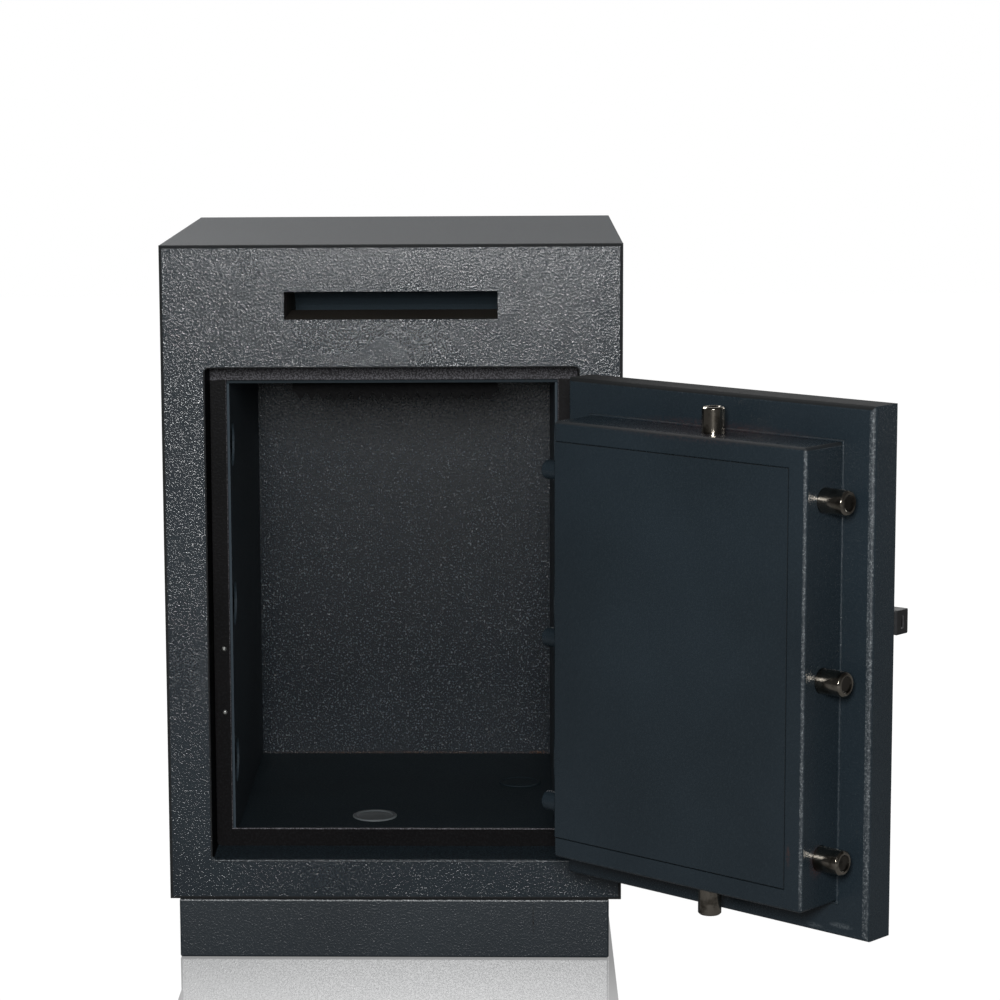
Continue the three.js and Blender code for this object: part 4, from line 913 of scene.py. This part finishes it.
keptFinishes = {
    shellPaint: ["back_plate"],
    rearPaint: ["liner_rear"],
    linerPaint: ["liner_floor", "liner_ceiling"],
    wallPaint: ["liner_left", "liner_right"],
    primerPaint: ["deposit_hood"],
    trayPaint: ["deposit_tray", "deposit_cheek_left", "deposit_cheek_right"],
    zinc: ["handle_spindle", "cam_disc", "side_carriage", "top_slide", "bottom_slide", "carriage_stud_lower",
           "carriage_stud_upper", "slide_stud_lower", "slide_stud_upper", "lock_case", "lock_bolt"],
    bronze: ["spindle_bush"],
}
for material, names in keptFinishes.items():
    for name in names:
        nodes[name].data.materials.clear()
        nodes[name].data.materials.append(material)
print("kept nodes finished")


# Floor: a pale polished board whose reflection fades away from the plinth. Half its width and the
# reflection's reach are metres

floorLook = {"half": 8, "drop": 0.2, "reach": 0.85, "mirror": 0.723, "albedo": "#6c6c6c", "glow": 0.97,
             "mirroredGlow": 0.02}


def makeFloor():
    bm = bmesh.new()
    bmesh.ops.create_grid(bm, x_segments=1, y_segments=1, size=floorLook["half"])
    bmesh.ops.translate(bm, vec=(0, 0, -floorLook["drop"] * mm), verts=bm.verts)
    mesh = bpy.data.meshes.new("floor")
    bm.to_mesh(mesh)
    bm.free()
    floor = bpy.data.objects.new("floor", mesh)
    bpy.context.scene.collection.objects.link(floor)
    material = bpy.data.materials.new("pale polished floor")
    material.use_nodes = True
    tree = material.node_tree
    tree.nodes.clear()
    rays = addNode(tree, "ShaderNodeLightPath")

    # a mirror for the camera alone, weaker with the distance from the plinth
    place = addNode(tree, "ShaderNodeTexCoord").outputs["Object"]
    low, high = cornersOf("plinth")
    size = (high - low) / 2
    folded = addNode(tree, "ShaderNodeVectorMath", {"operation": "ABSOLUTE"}, {0: place})
    outside = addNode(tree, "ShaderNodeVectorMath", {"operation": "SUBTRACT", 1: (size.x, size.y, 0)},
                      {0: folded.outputs[0]})
    ahead = addNode(tree, "ShaderNodeVectorMath", {"operation": "MAXIMUM", 1: (0, 0, 0)},
                    {0: outside.outputs[0]})
    distance = addNode(tree, "ShaderNodeVectorMath", {"operation": "LENGTH"}, {0: ahead.outputs[0]})
    mirror = addNode(tree, "ShaderNodeMapRange",
                     {"From Max": floorLook["reach"], "To Min": floorLook["mirror"], "To Max": 0},
                     {"Value": distance.outputs["Value"]})
    shown = addNode(tree, "ShaderNodeMath", {"operation": "MULTIPLY"},
                    {0: mirror.outputs[0], 1: rays.outputs["Is Camera Ray"]})
    gloss = addNode(tree, "ShaderNodeBsdfGlossy", {"Roughness": 0, "Color": hexColour("#ffffff")})

    # grey to the light, with a white glow that only the camera sees in full
    matt = addNode(tree, "ShaderNodeBsdfDiffuse", {"Color": hexColour(floorLook["albedo"])})
    bounced = addNode(tree, "ShaderNodeMath", {"operation": "MAXIMUM"},
                      {0: rays.outputs["Is Glossy Ray"], 1: rays.outputs["Is Transmission Ray"]})
    dim = addNode(tree, "ShaderNodeMath", {"operation": "MULTIPLY", 1: floorLook["mirroredGlow"]},
                  {0: bounced.outputs[0]})
    glow = addNode(tree, "ShaderNodeMix", {numberB: floorLook["glow"]},
                   {factor: rays.outputs["Is Camera Ray"], numberA: dim.outputs[0]})
    light = addNode(tree, "ShaderNodeEmission", {"Color": hexColour("#ffffff")},
                    {"Strength": glow.outputs[0]})
    both = addNode(tree, "ShaderNodeAddShader", {}, {0: matt.outputs[0], 1: light.outputs[0]})
    mixed = addNode(tree, "ShaderNodeMixShader", {},
                    {0: shown.outputs[0], 1: both.outputs[0], 2: gloss.outputs[0]})
    addNode(tree, "ShaderNodeOutputMaterial", {}, {"Surface": mixed.outputs[0]})
    mesh.materials.append(material)


# World: white to the camera and in the floor's mirror. As a light it is plain grey, and rough gloss sees
# a white backdrop behind the safe and a dim studio before it

worldLook = {"light": 0.27, "studio": 0.04, "backdrop": 1, "backdropFrom": 0.35, "backdropTo": 0.7}


def makeWorld():
    world = bpy.data.worlds.new("studio")
    world.use_nodes = True
    tree = world.node_tree
    tree.nodes.clear()
    rays = addNode(tree, "ShaderNodeLightPath")
    place = addNode(tree, "ShaderNodeTexCoord").outputs["Generated"]
    parts = addNode(tree, "ShaderNodeSeparateXYZ", {}, {0: place})
    room = addNode(tree, "ShaderNodeMapRange",
                   {"From Min": worldLook["backdropFrom"], "From Max": worldLook["backdropTo"],
                    "To Min": worldLook["studio"], "To Max": worldLook["backdrop"]},
                   {"Value": parts.outputs["Y"]})
    bounced = addNode(tree, "ShaderNodeMath", {"operation": "MAXIMUM"},
                      {0: rays.outputs["Is Glossy Ray"], 1: rays.outputs["Is Transmission Ray"]})
    direct = addNode(tree, "ShaderNodeMath", {"operation": "MAXIMUM"},
                     {0: rays.outputs["Is Camera Ray"], 1: rays.outputs["Is Singular Ray"]})
    mirrored = addNode(tree, "ShaderNodeMix", {numberA: worldLook["light"]},
                       {factor: bounced.outputs[0], numberB: room.outputs[0]})
    strength = addNode(tree, "ShaderNodeMix", {numberB: 1},
                       {factor: direct.outputs[0], numberA: mirrored.outputs[0]})
    background = addNode(tree, "ShaderNodeBackground", {"Color": hexColour("#ffffff")},
                         {"Strength": strength.outputs[0]})
    addNode(tree, "ShaderNodeOutputWorld", {}, {"Surface": background.outputs[0]})
    bpy.context.scene.world = world


# Lamps: a softbox above the camera, and weak ones that open up the other sides; in metres and watts

lamps = {
    "key": {"place": (-0.02, -3.2, 1.27), "aim": (0.05, -0.235, 0.55), "size": (0.6, 0.6), "power": 78},
    "rear": {"place": (-1.3, 1.5, 2.6), "aim": (0, 0, 0.4), "size": (1.2, 1.2), "power": 36},
    "right": {"place": (2.2, 0.9, 1.2), "aim": (0.3, 0, 0.4), "size": (0.6, 1.4), "power": 18},
}


def makeLamps():
    for name, lamp in lamps.items():
        data = bpy.data.lights.new(name, "AREA")
        data.shape = "RECTANGLE"
        data.size, data.size_y = lamp["size"]
        data.energy = lamp["power"]
        light = bpy.data.objects.new(name, data)
        bpy.context.scene.collection.objects.link(light)
        place = Vector(lamp["place"])
        aim = (Vector(lamp["aim"]) - place).to_track_quat("-Z", "Y")
        light.matrix_world = Matrix.Translation(place) @ aim.to_matrix().to_4x4()


# Camera, from the photograph's straight edges; its angles are degrees, its place and sight metres

view = {"place": (0.12095, -3.5427, 1.0124), "yaw": 2.04, "pitch": 8.72, "roll": -0.43, "lens": 113.2,
        "sensor": 36, "shift": 0.105, "sees": 60}


def makeCamera():
    data = bpy.data.cameras.new("camera")
    data.lens = view["lens"]
    data.sensor_width = view["sensor"]
    data.shift_x = view["shift"]
    data.clip_end = view["sees"]
    camera = bpy.data.objects.new("camera", data)
    bpy.context.scene.collection.objects.link(camera)
    yaw, pitch, roll = (math.radians(view[key]) for key in ("yaw", "pitch", "roll"))
    aim = Matrix.Rotation(yaw, 4, "Z") @ Matrix.Rotation(math.pi / 2 - pitch, 4, "X")
    camera.matrix_world = Matrix.Translation(view["place"]) @ (aim @ Matrix.Rotation(roll, 4, "Z"))
    bpy.context.scene.camera = camera


makeFloor()
makeWorld()
makeLamps()
makeCamera()
bpy.context.scene.view_settings.view_transform = "Standard"
print("floor, light and camera made")
